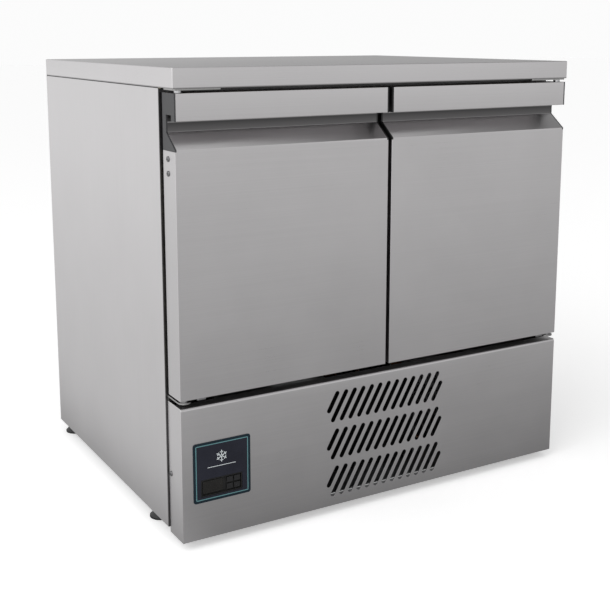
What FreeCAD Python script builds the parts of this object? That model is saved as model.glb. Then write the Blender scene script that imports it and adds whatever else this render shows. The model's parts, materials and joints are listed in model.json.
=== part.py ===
"""Two-door undercounter refrigerator, a parametric document in millimetres.

+Z is up and the doors face -Y. The origin is on the floor under the centre
of the worktop. Driving sizes are in the sheet SIZES, and the positions worked
out from them are properties of the variable set PLACES. Every formula below
names only those two, so a changed size carries everything that depends on it.
"""
import FreeCAD, Part
import math
import os
import re

import Sketcher

OUTPUT_FOLDER = "parts"
SIDES = {"left": -1, "right": 1}

SIZES = {
    # whole cabinet
    "overall_width": 880.0,
    "overall_depth": 700.0,
    "overall_height": 860.0,
    "side_panel_bottom": 26.0,
    "machine_height": 242.0,
    "panel_sheet": 1.0,
    "side_flange": 18.0,
    "edge_radius": 0.8,
    # worktop
    "worktop_thickness": 35.0,
    "worktop_sheet": 1.2,
    "worktop_radius": 1.5,
    # insulated box
    "side_insulation": 45.0,
    "back_insulation": 45.0,
    "top_insulation": 45.0,
    "floor_insulation": 40.0,
    "liner_sheet": 1.0,
    "mullion_width": 68.0,
    "mullion_depth": 34.0,
    "mullion_sheet": 1.2,
    # doors
    "front_setback": 1.0,
    "door_thickness": 51.0,
    "door_side_inset": 3.0,
    "door_gap": 8.0,
    "door_top_gap": 7.5,
    "door_panel_gap": 14.0,
    "door_sheet": 1.0,
    "door_radius": 0.9,
    # door handle recess, seen in section
    "lip_height": 47.0,
    "lip_depth": 14.0,
    "notch_rise": 10.0,
    "recess_depth": 36.0,
    "recess_wall": 30.0,
    "recess_slope": 27.5,
    "end_cap_wall": 3.0,
    "end_cap_foot": 3.5,
    "boss_width": 22.0,
    "boss_depth": 26.0,
    "boss_height": 24.0,
    "boss_margin": 0.5,
    # door gasket and inner pan
    "gasket_gap": 8.5,
    "gasket_width": 18.0,
    "gasket_hinge_inset": 14.0,
    "gasket_inset": 8.0,
    "face_clearance": 0.3,
    "liner_plug": 4.0,
    "liner_plug_margin": 3.0,
    # hinges
    "pivot_inset": 12.5,
    "pivot_setback": 12.5,
    "pin_radius": 4.0,
    "pin_clearance": 0.05,
    "pin_reach": 13.5,
    "pin_collar_radius": 6.5,
    "bush_radius": 7.0,
    "bush_length": 14.0,
    "hinge_plate": 3.0,
    "top_plate_width": 88.0,
    "top_plate_depth": 46.0,
    "tongue_radius": 12.2,
    "tongue_drop": 4.0,
    "bracket_width": 34.0,
    "bracket_drop": 34.0,
    "bracket_sheet": 2.0,
    "plate_radius": 3.0,
    "lug_start": 33.0,
    "lug_width": 18.0,
    "lug_depth": 20.0,
    "lug_height": 3.3,
    # screws
    "screw_head_radius": 5.0,
    "screw_head_height": 2.4,
    "screw_shank_radius": 2.0,
    "screw_length": 9.0,
    "door_screw_setback": 30.0,
    "door_screw_drop": 14.0,
    "door_screw_spacing": 25.0,
    "panel_screw_height": 133.0,
    "panel_screw_inset": 9.5,
    # vented front panel
    "front_panel_drop": 9.0,
    "front_panel_rise": 0.5,
    "front_panel_sheet": 1.2,
    "front_panel_gap": 1.5,
    "front_panel_radius": 5.0,
    "front_panel_flange": 25.0,
    "front_panel_foot_flange": 44.0,
    "slot_width": 9.4,
    "slot_pitch": 19.8,
    "slot_count": 12.0,
    "slot_lean": 34.3,
    "row_count": 3.0,
    "row_gap": 14.2,
    "row_top_drop": 21.8,
    "row_foot": 19.0,
    "first_slot_share": 0.62,
    "last_slot_share": 0.59,
    # controls
    "fascia_width": 114.0,
    "fascia_height": 112.6,
    "fascia_sheet": 1.0,
    "fascia_radius": 5.0,
    "fascia_side_inset": 21.5,
    "fascia_foot": 70.0,
    "window_width": 82.8,
    "window_height": 32.4,
    "window_foot": 10.4,
    "window_shift": -1.2,
    "housing_clearance": 0.3,
    "housing_depth": 58.0,
    "housing_recess": 3.5,
    "housing_rim": 2.0,
    "lens_width": 40.0,
    "lens_thickness": 1.2,
    "lens_margin": 2.0,
    "key_width": 12.0,
    "key_height": 10.0,
    "key_pitch_across": 14.5,
    "key_pitch_up": 13.0,
    "key_thickness": 1.7,
    "key_standoff": 1.1,
    "key_stem_radius": 2.0,
    "key_stem_length": 4.0,
    "key_stem_clearance": 0.3,
    # base and feet
    "tray_sheet": 2.0,
    "tray_tongue": 30.0,
    "tab_height": 138.0,
    "tab_depth": 24.0,
    "foot_side_inset": 27.0,
    "front_foot_setback": 161.0,
    "rear_foot_inset": 25.0,
    "foot_radius": 22.0,
    "foot_rim": 5.0,
    "foot_neck_radius": 10.0,
    "foot_neck": 22.0,
    "foot_stem_radius": 5.0,
    "foot_stem_top": 75.0,
    "foot_boss_radius": 9.0,
    "foot_boss_height": 18.0,
    # shelves
    "shelf_cover_gap": 24.0,
    "shelf_front_gap": 6.0,
    "shelf_depth": 470.0,
    "shelf_side_gap": 3.0,
    "shelf_wire": 2.0,
    "shelf_frame_wire": 3.5,
    "shelf_corner": 12.0,
    "shelf_bar_wire": 3.15,
    "shelf_wire_end": 1.0,
    "shelf_wire_sink": 0.5,
    "shelf_wire_pitch": 24.0,
    "shelf_bars": 3.0,
    "rail_width": 14.0,
    "rail_height": 14.0,
    "rail_sheet": 1.5,
    # refrigeration in the machine compartment
    "coil_width": 260.0,
    "coil_depth": 44.0,
    "coil_height": 176.0,
    "coil_setback": 26.0,
    "coil_foot": 12.0,
    "fin_gap": 6.0,
    "fin_pitch": 10.0,
    "fin_spine": 5.0,
    "bend_radius": 10.0,
    "pipe_radius": 4.0,
    "fan_radius": 70.0,
    "fan_hub_radius": 18.0,
    "fan_depth": 24.0,
    "fan_shaft_radius": 3.0,
    "fan_shaft_length": 10.0,
    "fan_clearance": 4.0,
    "shroud_depth": 34.0,
    "shroud_sheet": 1.5,
    "motor_radius": 36.0,
    "motor_length": 52.0,
    "motor_gap": 2.0,
    "motor_arm": 12.0,
    "compressor_x": 270.0,
    "compressor_y": 150.0,
    "compressor_radius": 75.0,
    "compressor_height": 150.0,
    "compressor_dome": 38.0,
    "compressor_seam": 4.0,
    "compressor_plate_width": 210.0,
    "compressor_plate_depth": 160.0,
    "compressor_plate": 3.0,
    "grommet_radius": 11.0,
    "grommet_height": 16.0,
    "terminal_box": 52.0,
    "pipe_rise": 60.0,
    "pipe_side_gap": 50.0,
    "drier_radius": 10.0,
    "drier_length": 90.0,
    "drier_y": -75.0,
    "tray_width": 200.0,
    "tray_depth": 190.0,
    "tray_height": 32.0,
    "tray_x": -210.0,
    "tray_y": 160.0,
    # evaporator in the cold space
    "cover_width": 290.0,
    "cover_height": 210.0,
    "cover_depth": 76.0,
    "cover_sheet": 1.0,
    "cover_slot": 5.0,
    "evaporator_width": 230.0,
    "evaporator_depth": 30.0,
    "evaporator_height": 160.0,
    "evaporator_fan_radius": 48.0,
    "evaporator_fan_depth": 14.0,
    "evaporator_motor_length": 14.0,
    "evaporator_motor_radius": 24.0,
    # back panel
    "louvre_width": 120.0,
    "louvre_height": 6.0,
    "louvre_pitch": 18.0,
    "louvre_count": 7.0,
    "louvre_foot": 60.0,
    "louvre_across": 190.0,
    "inlet_width": 48.0,
    "inlet_height": 28.0,
    "inlet_depth": 24.0,
    "inlet_wall": 3.0,
    "inlet_floor": 6.0,
    "inlet_across": 360.0,
    "inlet_foot": 70.0,
    "inlet_pin_width": 2.0,
    "inlet_pin_height": 4.0,
    "inlet_pin_pitch": 14.0,
}

PLACES = {
    "half_width": "overall_width / 2",
    "front": "-overall_depth / 2",
    "back": "overall_depth / 2",
    "worktop_underside": "overall_height - worktop_thickness",
    "door_front": "front + front_setback",
    "door_back": "door_front + door_thickness",
    "cabinet_front": "door_back + gasket_gap",
    "surround_back": "cabinet_front + panel_sheet",
    "back_inside": "back - panel_sheet",
    "side_inside": "half_width - panel_sheet",
    "door_top": "worktop_underside - door_top_gap",
    "box_bottom": "side_panel_bottom + machine_height",
    "panel_bottom": "side_panel_bottom - front_panel_drop",
    "panel_top": "box_bottom + front_panel_rise",
    "panel_back": "cabinet_front - front_panel_gap",
    "door_bottom": "panel_top + door_panel_gap",
    "door_outer": "half_width - door_side_inset",
    "door_inner": "door_gap / 2",
    "box_floor": "box_bottom + panel_sheet",
    "liner_half": "side_inside - side_insulation",
    "liner_back": "back_inside - back_insulation",
    "liner_floor": "box_bottom + floor_insulation",
    "liner_top": "worktop_underside - top_insulation",
    "cavity_half": "liner_half - liner_sheet",
    "cavity_back": "liner_back - liner_sheet",
    "cavity_floor": "liner_floor + liner_sheet",
    "cavity_top": "liner_top - liner_sheet",
    "mullion_half": "mullion_width / 2",
    "mullion_back": "cabinet_front + mullion_depth",
    # handle recess, from the top of the door down
    "lip_bottom": "door_top - lip_height",
    "notch_top": "lip_bottom + notch_rise",
    "slope_top": "notch_top - recess_wall",
    "slope_foot": "slope_top - recess_slope",
    "cap_bottom": "slope_foot - end_cap_foot",
    "slope_ratio": "recess_slope / recess_depth",
    "slope_stretch": "sqrt(1 + slope_ratio * slope_ratio)",
    # hinges
    "pivot_across": "door_outer - pivot_inset",
    "pivot_y": "door_front + pivot_setback",
    "top_plate_low": "worktop_underside - hinge_plate",
    "tongue_top": "door_bottom - tongue_drop",
    "tongue_low": "tongue_top - hinge_plate",
    "bore_radius": "pin_radius + pin_clearance",
    "gasket_back": "cabinet_front - face_clearance",
    # ventilation slots
    "slot_rise": "(panel_top - row_top_drop - panel_bottom - row_foot + row_gap) / row_count - row_gap",
    "row_pitch": "slot_rise + row_gap",
    # controls
    "fascia_x": "fascia_side_inset + fascia_width / 2 - door_outer",
    "fascia_low": "panel_bottom + fascia_foot",
    "fascia_top": "fascia_low + fascia_height",
    "window_x": "fascia_x + window_shift",
    "window_low": "fascia_low + window_foot",
    "window_middle": "window_low + window_height / 2",
    "housing_half": "window_width / 2 - housing_clearance",
    "housing_front": "door_front - fascia_sheet + housing_clearance",
    "housing_floor": "housing_front + housing_recess",
    "lens_left": "window_x - housing_half + housing_rim + lens_margin",
    "lens_half_height": "window_height / 2 - housing_clearance - housing_rim - lens_margin",
    "keys_x": "window_x + housing_half - housing_rim - lens_margin - key_pitch_across / 2 - key_width / 2",
    "key_back": "housing_floor - key_standoff",
    # base
    "tray_low": "side_panel_bottom + panel_sheet",
    "tray_top": "tray_low + tray_sheet",
    "tray_front": "cabinet_front - tray_tongue",
    "return_inside": "door_outer - front_panel_sheet",
    "foot_across": "half_width - foot_side_inset",
    "front_foot_y": "front + front_foot_setback",
    "rear_foot_y": "back - rear_foot_inset",
    # shelves
    "shelf_z": "cavity_top - cover_height - shelf_cover_gap",
    "shelf_front": "mullion_back + shelf_front_gap",
    "shelf_back": "shelf_front + shelf_depth",
    "rail_top": "shelf_z - shelf_frame_wire",
    # refrigeration
    "coil_front": "cabinet_front + coil_setback",
    "coil_back": "coil_front + coil_depth",
    "coil_low": "tray_top + coil_foot",
    "coil_top": "coil_low + coil_height",
    "coil_half": "coil_width / 2",
    "coil_middle": "coil_low + coil_height / 2",
    "shroud_back": "coil_back + shroud_depth",
    "fan_front": "coil_back + (shroud_depth - fan_depth) / 2",
    "fan_back": "fan_front + fan_depth",
    "motor_front": "fan_back + motor_gap",
    "plate_low": "tray_top + grommet_height",
    "shell_low": "plate_low + compressor_plate",
    "pipe_y": "coil_front + coil_depth / 2",
    "pipe_x": "coil_half + pipe_side_gap",
    "cover_front": "cavity_back - cover_depth",
    "cover_low": "cavity_top - cover_height",
    "cover_middle": "cavity_top - cover_height / 2",
    "cover_half": "cover_width / 2",
    "evaporator_front": "cavity_back - evaporator_depth",
    "evaporator_motor_front": "evaporator_front - evaporator_motor_length",
    "evaporator_fan_back": "evaporator_motor_front - motor_gap",
    "evaporator_fan_front": "evaporator_fan_back - evaporator_fan_depth",
}

document = FreeCAD.newDocument("UndercounterRefrigerator")
nodes = {}


# ---------------------------------------------------------------- formulas

def make_sheet():
    """Write each driving size as a plain number with its alias."""
    sheet = document.addObject("Spreadsheet::Sheet", "Sizes")
    for row, (name, value) in enumerate(SIZES.items(), start=1):
        sheet.set(f"A{row}", name)
        sheet.set(f"B{row}", str(value))
        sheet.setAlias(f"B{row}", name)
    document.recompute()
    return sheet


def qualified(formula):
    """Turn the bare names of a formula into references to their owners."""
    def owner(match):
        word = match.group(0)
        if word in SIZES:
            return "Sizes." + word
        if word in PLACES:
            return "Places." + word
        return word
    return re.sub(r"[a-z][a-z0-9_]*", owner, str(formula))


def make_places():
    """Give each derived position a property that follows its formula."""
    places = document.addObject("App::VarSet", "Places")
    for name in PLACES:
        places.addProperty("App::PropertyFloat", name, "Positions")
    for name, formula in PLACES.items():
        places.setExpression(name, qualified(formula))
    document.recompute()
    return places


sizes = make_sheet()
places = make_places()


def number(name):
    """Read one driving size or derived position."""
    if name in SIZES:
        return float(sizes.get(name))
    return float(getattr(places, name))


def mirrored(side, near, far):
    """Low and high X of a stretch given by its distances from the centre."""
    if side > 0:
        return near, far
    return f"-({far})", f"-({near})"


# ---------------------------------------------------------------- primitives

def box(name, x_span, y_span, z_span):
    """Part::Box between two corners given as formulas."""
    solid = document.addObject("Part::Box", name)
    for size, place, (low, high) in zip(
            ("Length", "Width", "Height"), "xyz", (x_span, y_span, z_span)):
        solid.setExpression(size, qualified(f"({high}) - ({low})"))
        solid.setExpression(f"Placement.Base.{place}", qualified(low))
    return solid


AXIS_TURNS = {
    "x": FreeCAD.Rotation(FreeCAD.Vector(0, 1, 0), 90),
    "y": FreeCAD.Rotation(FreeCAD.Vector(1, 0, 0), -90),
    "z": FreeCAD.Rotation(),
}


def cylinder(name, axis, base, radius, length):
    """Part::Cylinder that grows from base along a positive axis."""
    solid = document.addObject("Part::Cylinder", name)
    solid.Placement = FreeCAD.Placement(FreeCAD.Vector(), AXIS_TURNS[axis])
    solid.setExpression("Radius", qualified(radius))
    solid.setExpression("Height", qualified(length))
    for place, formula in zip("xyz", base):
        solid.setExpression(f"Placement.Base.{place}", qualified(formula))
    return solid


def fuse(name, pieces):
    joined = document.addObject("Part::MultiFuse", name)
    joined.Shapes = pieces
    joined.Refine = True
    return joined


def cut(name, base, tools):
    """Remove one or several tools from a base."""
    result = document.addObject("Part::Cut", name)
    result.Base = base
    result.Tool = tools[0] if len(tools) == 1 else group(name + "_tools", tools)
    return result


def group(name, pieces):
    """Separate solids that share one name."""
    together = document.addObject("Part::Compound", name)
    together.Links = pieces
    return together


def shaped(name, shape):
    """Part::Feature for a form that primitives and sketches don't give."""
    feature = document.addObject("Part::Feature", name)
    feature.Shape = shape
    return feature


def node(name, piece):
    """Register a finished sub-part under the name of its file."""
    piece.Label = name
    nodes[name] = piece
    return piece


# ---------------------------------------------------------------- bodies

PLANES = {"xy": "XY_Plane", "xz": "XZ_Plane", "yz": "YZ_Plane"}


def new_body(name):
    return document.addObject("PartDesign::Body", name)


def sketch_on(body, plane, level):
    """Empty sketch parallel to an origin plane, at a level along its normal."""
    sketch = body.newObject("Sketcher::SketchObject", f"{body.Name}_outline")
    support = [item for item in body.Origin.OriginFeatures if item.Role == PLANES[plane]]
    sketch.AttachmentSupport = (support[0], "")
    sketch.MapMode = "FlatFace"
    sketch.setExpression("AttachmentOffset.Base.z", qualified(level))
    return sketch


def pin_point(sketch, geometry, position, across, up):
    """Fix one sketch point by its two distances from the origin."""
    for kind, formula in (("DistanceX", across), ("DistanceY", up)):
        index = sketch.addConstraint(
            Sketcher.Constraint(kind, -1, 1, geometry, position, 1.0))
        sketch.setExpression(f"Constraints[{index}]", qualified(formula))


def draw_outline(sketch, corners):
    """Closed outline of straight edges, every corner placed by formulas."""
    first = sketch.GeometryCount
    count = len(corners)
    for step in range(count):
        turn = 2 * math.pi * step / count
        after = 2 * math.pi * (step + 1) / count
        sketch.addGeometry(Part.LineSegment(
            FreeCAD.Vector(math.cos(turn), math.sin(turn), 0),
            FreeCAD.Vector(math.cos(after), math.sin(after), 0)))
    for step in range(count):
        sketch.addConstraint(Sketcher.Constraint(
            "Coincident", first + step, 2, first + (step + 1) % count, 1))
        pin_point(sketch, first + step, 1, *corners[step])


def draw_rectangle(sketch, across, up):
    (left, right), (low, high) = across, up
    draw_outline(sketch, [(left, low), (right, low), (right, high), (left, high)])


def feature_level(plane, low, high):
    """Sketch level from which a feature along the plane's normal spans low to high."""
    return f"-({high})" if plane == "xz" else low


def pad(body, plane, draw, low, high):
    """Add material between two levels measured along the plane's global axis."""
    sketch = sketch_on(body, plane, feature_level(plane, low, high))
    draw(sketch)
    feature = body.newObject("PartDesign::Pad", f"{body.Name}_pad")
    feature.Profile = sketch
    feature.setExpression("Length", qualified(f"({high}) - ({low})"))
    body.Tip = feature
    return feature


def pocket(body, plane, draw, low, high):
    """Remove material between two levels, and fail if nothing was removed."""
    document.recompute()
    before = body.Shape.Volume
    sketch = sketch_on(body, plane, feature_level(plane, low, high))
    draw(sketch)
    feature = body.newObject("PartDesign::Pocket", f"{body.Name}_pocket")
    feature.Profile = sketch
    feature.Reversed = True
    feature.setExpression("Length", qualified(f"({high}) - ({low})"))
    body.Tip = feature
    document.recompute()
    if body.Shape.Volume >= before:
        raise RuntimeError(f"{feature.Name} cuts nothing")
    return feature


def pattern(body, original, axis, spacing, count):
    """Repeat a feature along a global axis."""
    roles = {"x": "X_Axis", "z": "Z_Axis"}
    support = [item for item in body.Origin.OriginFeatures if item.Role == roles[axis]]
    feature = body.newObject("PartDesign::LinearPattern", f"{body.Name}_pattern")
    feature.Originals = [original]
    feature.Direction = (support[0], [""])
    feature.setExpression("Length", qualified(f"({spacing}) * (({count}) - 1)"))
    feature.setExpression("Occurrences", qualified(count))
    body.Tip = feature
    return feature


def round_edges(body, radius, chosen):
    """Fillet the edges of the body's tip that a test on the edge picks out."""
    document.recompute()
    base = body.Tip
    names = [f"Edge{index}" for index, edge in enumerate(base.Shape.Edges, start=1) if chosen(edge)]
    feature = body.newObject("PartDesign::Fillet", f"{body.Name}_fillet")
    feature.Base = (base, names)
    feature.setExpression("Radius", qualified(radius))
    body.Tip = feature
    return feature


def along(axis, **levels):
    """Test for straight edges along an axis that lie at the named global levels."""
    def chosen(edge):
        if edge.Curve.TypeId != "Part::GeomLine":
            return False
        direction = edge.Curve.Direction
        if abs(abs(getattr(direction, axis)) - 1) > 1e-6:
            return False
        middle = edge.CenterOfMass
        return all(
            any(abs(abs(getattr(middle, key)) - abs(level)) < 1e-4 for level in values)
            for key, values in levels.items())
    return chosen


def either(*tests):
    return lambda edge: any(test(edge) for test in tests)


def rectangle(across, up):
    return lambda sketch: draw_rectangle(sketch, across, up)


def outline(corners):
    return lambda sketch: draw_outline(sketch, corners)


def plus_minus(distance):
    return f"-({distance})", distance


# ---------------------------------------------------------------- worktop

def make_worktop():
    """Folded tray with square skirts, over a board that fills it."""
    body = new_body("worktop")
    pad(body, "xy", rectangle(plus_minus("half_width"), ("front", "back")),
        "worktop_underside", "overall_height")
    top = number("overall_height")
    corner = dict(x=[number("half_width")], y=[number("back")])
    round_edges(body, "worktop_radius", either(
        along("x", z=[top]), along("y", z=[top]), along("z", **corner)))
    pocket(body, "xy",
           rectangle(plus_minus("half_width - worktop_sheet"),
                     ("front + worktop_sheet", "back - worktop_sheet")),
           "worktop_underside", "overall_height - worktop_sheet")
    node("worktop", body)
    node("worktop_core", box(
        "board", plus_minus("half_width - worktop_sheet"),
        ("front + worktop_sheet", "back - worktop_sheet"),
        ("worktop_underside", "overall_height - worktop_sheet")))


# ---------------------------------------------------------------- cabinet

def make_side_panel(name, side):
    """Outer skin with a front flange and a bottom flange turned inwards."""
    body = new_body(name)
    profile = [
        ("half_width", "cabinet_front"),
        ("half_width", "back"),
        ("side_inside", "back"),
        ("side_inside", "surround_back"),
        ("half_width - side_flange", "surround_back"),
        ("half_width - side_flange", "cabinet_front"),
    ]
    corners = [(f"{side} * ({across})", depth) for across, depth in profile]
    pad(body, "xy", outline(corners), "side_panel_bottom", "worktop_underside")
    pad(body, "xy",
        rectangle(mirrored(side, "half_width - side_flange", "half_width"),
                  ("cabinet_front", "back_inside")),
        "side_panel_bottom", "tray_low")
    corner = dict(x=[number("half_width")], y=[number("cabinet_front")])
    round_edges(body, "edge_radius", along("z", **corner))
    node(name, body)


def make_back_panel():
    """Rear skin with cooling slots and the opening for the supply inlet."""
    body = new_body("back_panel")
    depth = ("back_inside", "back")
    pad(body, "xz", rectangle(plus_minus("side_inside"), ("side_panel_bottom", "worktop_underside")),
        *depth)
    for side in SIDES.values():
        middle = f"{side} * louvre_across"
        slot = pocket(body, "xz", rectangle(
            (f"{middle} - louvre_width / 2", f"{middle} + louvre_width / 2"),
            ("louvre_foot", "louvre_foot + louvre_height")), *depth)
        pattern(body, slot, "z", "louvre_pitch", "louvre_count")
    pocket(body, "xz", rectangle(
        ("-inlet_across - inlet_width / 2", "-inlet_across + inlet_width / 2"),
        ("inlet_foot", "inlet_foot + inlet_height")), *depth)
    node("back_panel", body)


def make_insulated_box():
    """Foam shell, the liner in it, its front frame and the sheet below it."""
    foam = new_body("cabinet_insulation")
    pad(foam, "xy", rectangle(plus_minus("side_inside"), ("surround_back", "back_inside")),
        "box_floor", "worktop_underside")
    pocket(foam, "xz", rectangle(plus_minus("liner_half"), ("liner_floor", "liner_top")),
           "surround_back", "liner_back")
    node("cabinet_insulation", foam)

    liner = new_body("cabinet_liner")
    pad(liner, "xz", rectangle(plus_minus("liner_half"), ("liner_floor", "liner_top")),
        "surround_back", "liner_back")
    pocket(liner, "xz", rectangle(plus_minus("cavity_half"), ("cavity_floor", "cavity_top")),
           "surround_back", "cavity_back")
    node("cabinet_liner", liner)

    surround = new_body("door_surround")
    pad(surround, "xz",
        rectangle(plus_minus("half_width - side_flange"), ("box_bottom", "worktop_underside")),
        "cabinet_front", "surround_back")
    pocket(surround, "xz", rectangle(plus_minus("cavity_half"), ("cavity_floor", "cavity_top")),
           "cabinet_front", "surround_back")
    node("door_surround", surround)

    node("compartment_ceiling", box(
        "ceiling_sheet", plus_minus("side_inside"), ("surround_back", "back_inside"),
        ("box_bottom", "box_floor")))


def make_mullion():
    """Channel between the two openings that both doors close on."""
    body = new_body("centre_mullion")
    pad(body, "xy", rectangle(plus_minus("mullion_half"), ("cabinet_front", "mullion_back")),
        "cavity_floor", "cavity_top")
    pocket(body, "xy",
           rectangle(plus_minus("mullion_half - mullion_sheet"),
                     ("cabinet_front + mullion_sheet", "mullion_back")),
           "cavity_floor", "cavity_top")
    node("centre_mullion", body)


def foot_places():
    for side_name, side in SIDES.items():
        for end_name in ("front", "rear"):
            yield f"{end_name}_{side_name}_foot", f"{side} * foot_across", f"{end_name}_foot_y"


def make_base_tray():
    """Floor of the machine compartment, with foot bosses and panel tabs."""
    pieces = [
        box("tray_floor", plus_minus("side_inside"), ("surround_back", "back_inside"),
            ("tray_low", "tray_top")),
        box("tray_tongue", plus_minus("half_width - side_flange - face_clearance"),
            ("tray_front", "surround_back"), ("tray_low", "tray_top")),
    ]
    tools = []
    for side_name, side in SIDES.items():
        pieces.append(box(
            f"{side_name}_tab_foot",
            mirrored(side, "half_width - side_flange - tab_depth", "return_inside"),
            ("tray_front", "cabinet_front - face_clearance"), ("tray_low", "tray_top")))
        pieces.append(box(
            f"{side_name}_tab",
            mirrored(side, "return_inside - bracket_sheet", "return_inside"),
            ("cabinet_front - face_clearance - tab_depth", "cabinet_front - face_clearance"),
            ("tray_low", "tray_low + tab_height")))
        tools.append(panel_screw_shank(f"{side_name}_tab_hole", side))
    for name, across, depth in foot_places():
        pieces.append(cylinder(f"{name}_boss", "z", (across, depth, "tray_low"),
                               "foot_boss_radius", "foot_boss_height"))
        tools.append(cylinder(f"{name}_thread", "z", (across, depth, "side_panel_bottom"),
                              "foot_stem_radius + pin_clearance", "foot_stem_top"))
    node("base_tray", cut("tray", fuse("tray_pieces", pieces), tools))


def make_feet():
    """Levelling feet: a moulded pad on a threaded stem."""
    profile = [
        ("0", "0"),
        ("foot_radius", "0"),
        ("foot_radius", "foot_rim"),
        ("foot_neck_radius", "foot_neck"),
        ("foot_stem_radius", "foot_neck"),
        ("foot_stem_radius", "foot_stem_top"),
        ("0", "foot_stem_top"),
    ]
    for name, across, depth in foot_places():
        body = new_body(name)
        sketch = sketch_on(body, "xz", "0")
        draw_outline(sketch, profile)
        turned = body.newObject("PartDesign::Revolution", f"{name}_turned")
        turned.Profile = sketch
        turned.ReferenceAxis = (sketch, ["V_Axis"])
        turned.Angle = 360
        body.Tip = turned
        body.setExpression("Placement.Base.x", qualified(across))
        body.setExpression("Placement.Base.y", qualified(depth))
        node(name, body)


# ---------------------------------------------------------------- hinges

def pivot_x(side):
    return f"{side} * pivot_across"


def make_hinges():
    """Plates under the worktop and under the doors, and the pins in them."""
    top_plates, bottom_plates, pins = [], [], []
    for side_name, side in SIDES.items():
        centre = (pivot_x(side), "pivot_y")
        plate = new_body(f"{side_name}_top_plate")
        outer = "pivot_across + tongue_radius"
        pad(plate, "xy",
            rectangle(mirrored(side, f"{outer} - top_plate_width", outer),
                      ("door_front + front_setback", "door_front + top_plate_depth")),
            "top_plate_low", "worktop_underside")
        round_edges(plate, "plate_radius", along("z"))
        hole = cylinder(f"{side_name}_top_hole", "z", (*centre, "top_plate_low"),
                        "pin_radius", "hinge_plate")
        top_plates.append(cut(f"{side_name}_top_hinge", plate, [hole]))

        tongue_span = mirrored(side, "pivot_across - tongue_radius", "pivot_across + tongue_radius")
        bracket_outer = "return_inside - face_clearance"
        tongue = fuse(f"{side_name}_bottom_blank", [
            cylinder(f"{side_name}_tongue_end", "z", (*centre, "tongue_low"),
                     "tongue_radius", "hinge_plate"),
            box(f"{side_name}_tongue", tongue_span, ("pivot_y", "cabinet_front"),
                ("tongue_low", "tongue_top")),
            box(f"{side_name}_bracket",
                mirrored(side, f"{bracket_outer} - bracket_width", bracket_outer),
                ("cabinet_front - bracket_sheet", "cabinet_front"),
                ("tongue_top - bracket_drop", "tongue_top")),
        ])
        hole = cylinder(f"{side_name}_bottom_hole", "z", (*centre, "tongue_low"),
                        "pin_radius", "hinge_plate")
        bottom_plates.append(cut(f"{side_name}_bottom_hinge", tongue, [hole]))

        pins.append(fuse(f"{side_name}_top_pin", [
            cylinder(f"{side_name}_top_pin_shaft", "z", (*centre, "door_top - pin_reach"),
                     "pin_radius", "worktop_underside - door_top + pin_reach"),
            cylinder(f"{side_name}_top_pin_collar", "z", (*centre, "door_top + face_clearance"),
                     "pin_collar_radius", "top_plate_low - door_top - face_clearance"),
        ]))
        pins.append(fuse(f"{side_name}_bottom_pin", [
            cylinder(f"{side_name}_bottom_pin_shaft", "z", (*centre, "tongue_low"),
                     "pin_radius", "door_bottom + pin_reach - tongue_low"),
            cylinder(f"{side_name}_bottom_pin_collar", "z", (*centre, "tongue_top"),
                     "pin_collar_radius", "door_bottom - face_clearance - tongue_top"),
        ]))
    node("top_hinge_plates", group("top_hinges", top_plates))
    node("bottom_hinge_plates", group("bottom_hinges", bottom_plates))
    node("hinge_pins", group("pins", pins))


# ---------------------------------------------------------------- doors

def door_profile(inset, rear, foot):
    """Section of a door in Y and Z, drawn inside its outer faces by inset."""
    def depth(distance, sign=1):
        return f"door_front + {distance} + ({sign}) * ({inset})"

    slope_drop = f"({inset}) * slope_stretch"
    return [
        (depth("0"), f"{foot} + ({inset})"),
        (rear, f"{foot} + ({inset})"),
        (rear, f"door_top - ({inset})"),
        (depth("0"), f"door_top - ({inset})"),
        (depth("0"), f"lip_bottom + ({inset})"),
        (depth("lip_depth", -1), f"lip_bottom + ({inset})"),
        (depth("lip_depth", -1), f"notch_top + ({inset})"),
        (depth("recess_depth"), f"notch_top + ({inset})"),
        (depth("recess_depth"), f"slope_top + slope_ratio * ({inset}) - {slope_drop}"),
        (depth("0"), f"slope_foot + slope_ratio * ({inset}) - {slope_drop}"),
    ]


def door_screw_heights():
    first = "cap_bottom - door_screw_drop"
    return [first, f"{first} - door_screw_spacing"]


def side_screw(name, side, face, depth, height, head=True):
    """Pan-head screw driven inwards through a side face, or just its shank."""
    inner, outer = mirrored(side, f"{face} - screw_length", face)
    shank = cylinder(f"{name}_shank", "x", (inner, depth, height),
                     "screw_shank_radius", f"({outer}) - ({inner})")
    if not head:
        return shank
    low, high = mirrored(side, face, f"{face} + screw_head_height")
    cap = cylinder(f"{name}_head", "x", (low, depth, height),
                   "screw_head_radius", f"({high}) - ({low})")
    return fuse(name, [shank, cap])


def panel_screw_shank(name, side):
    return side_screw(name, side, "door_outer", "panel_back - panel_screw_inset",
                      "panel_screw_height", head=False)


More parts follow.
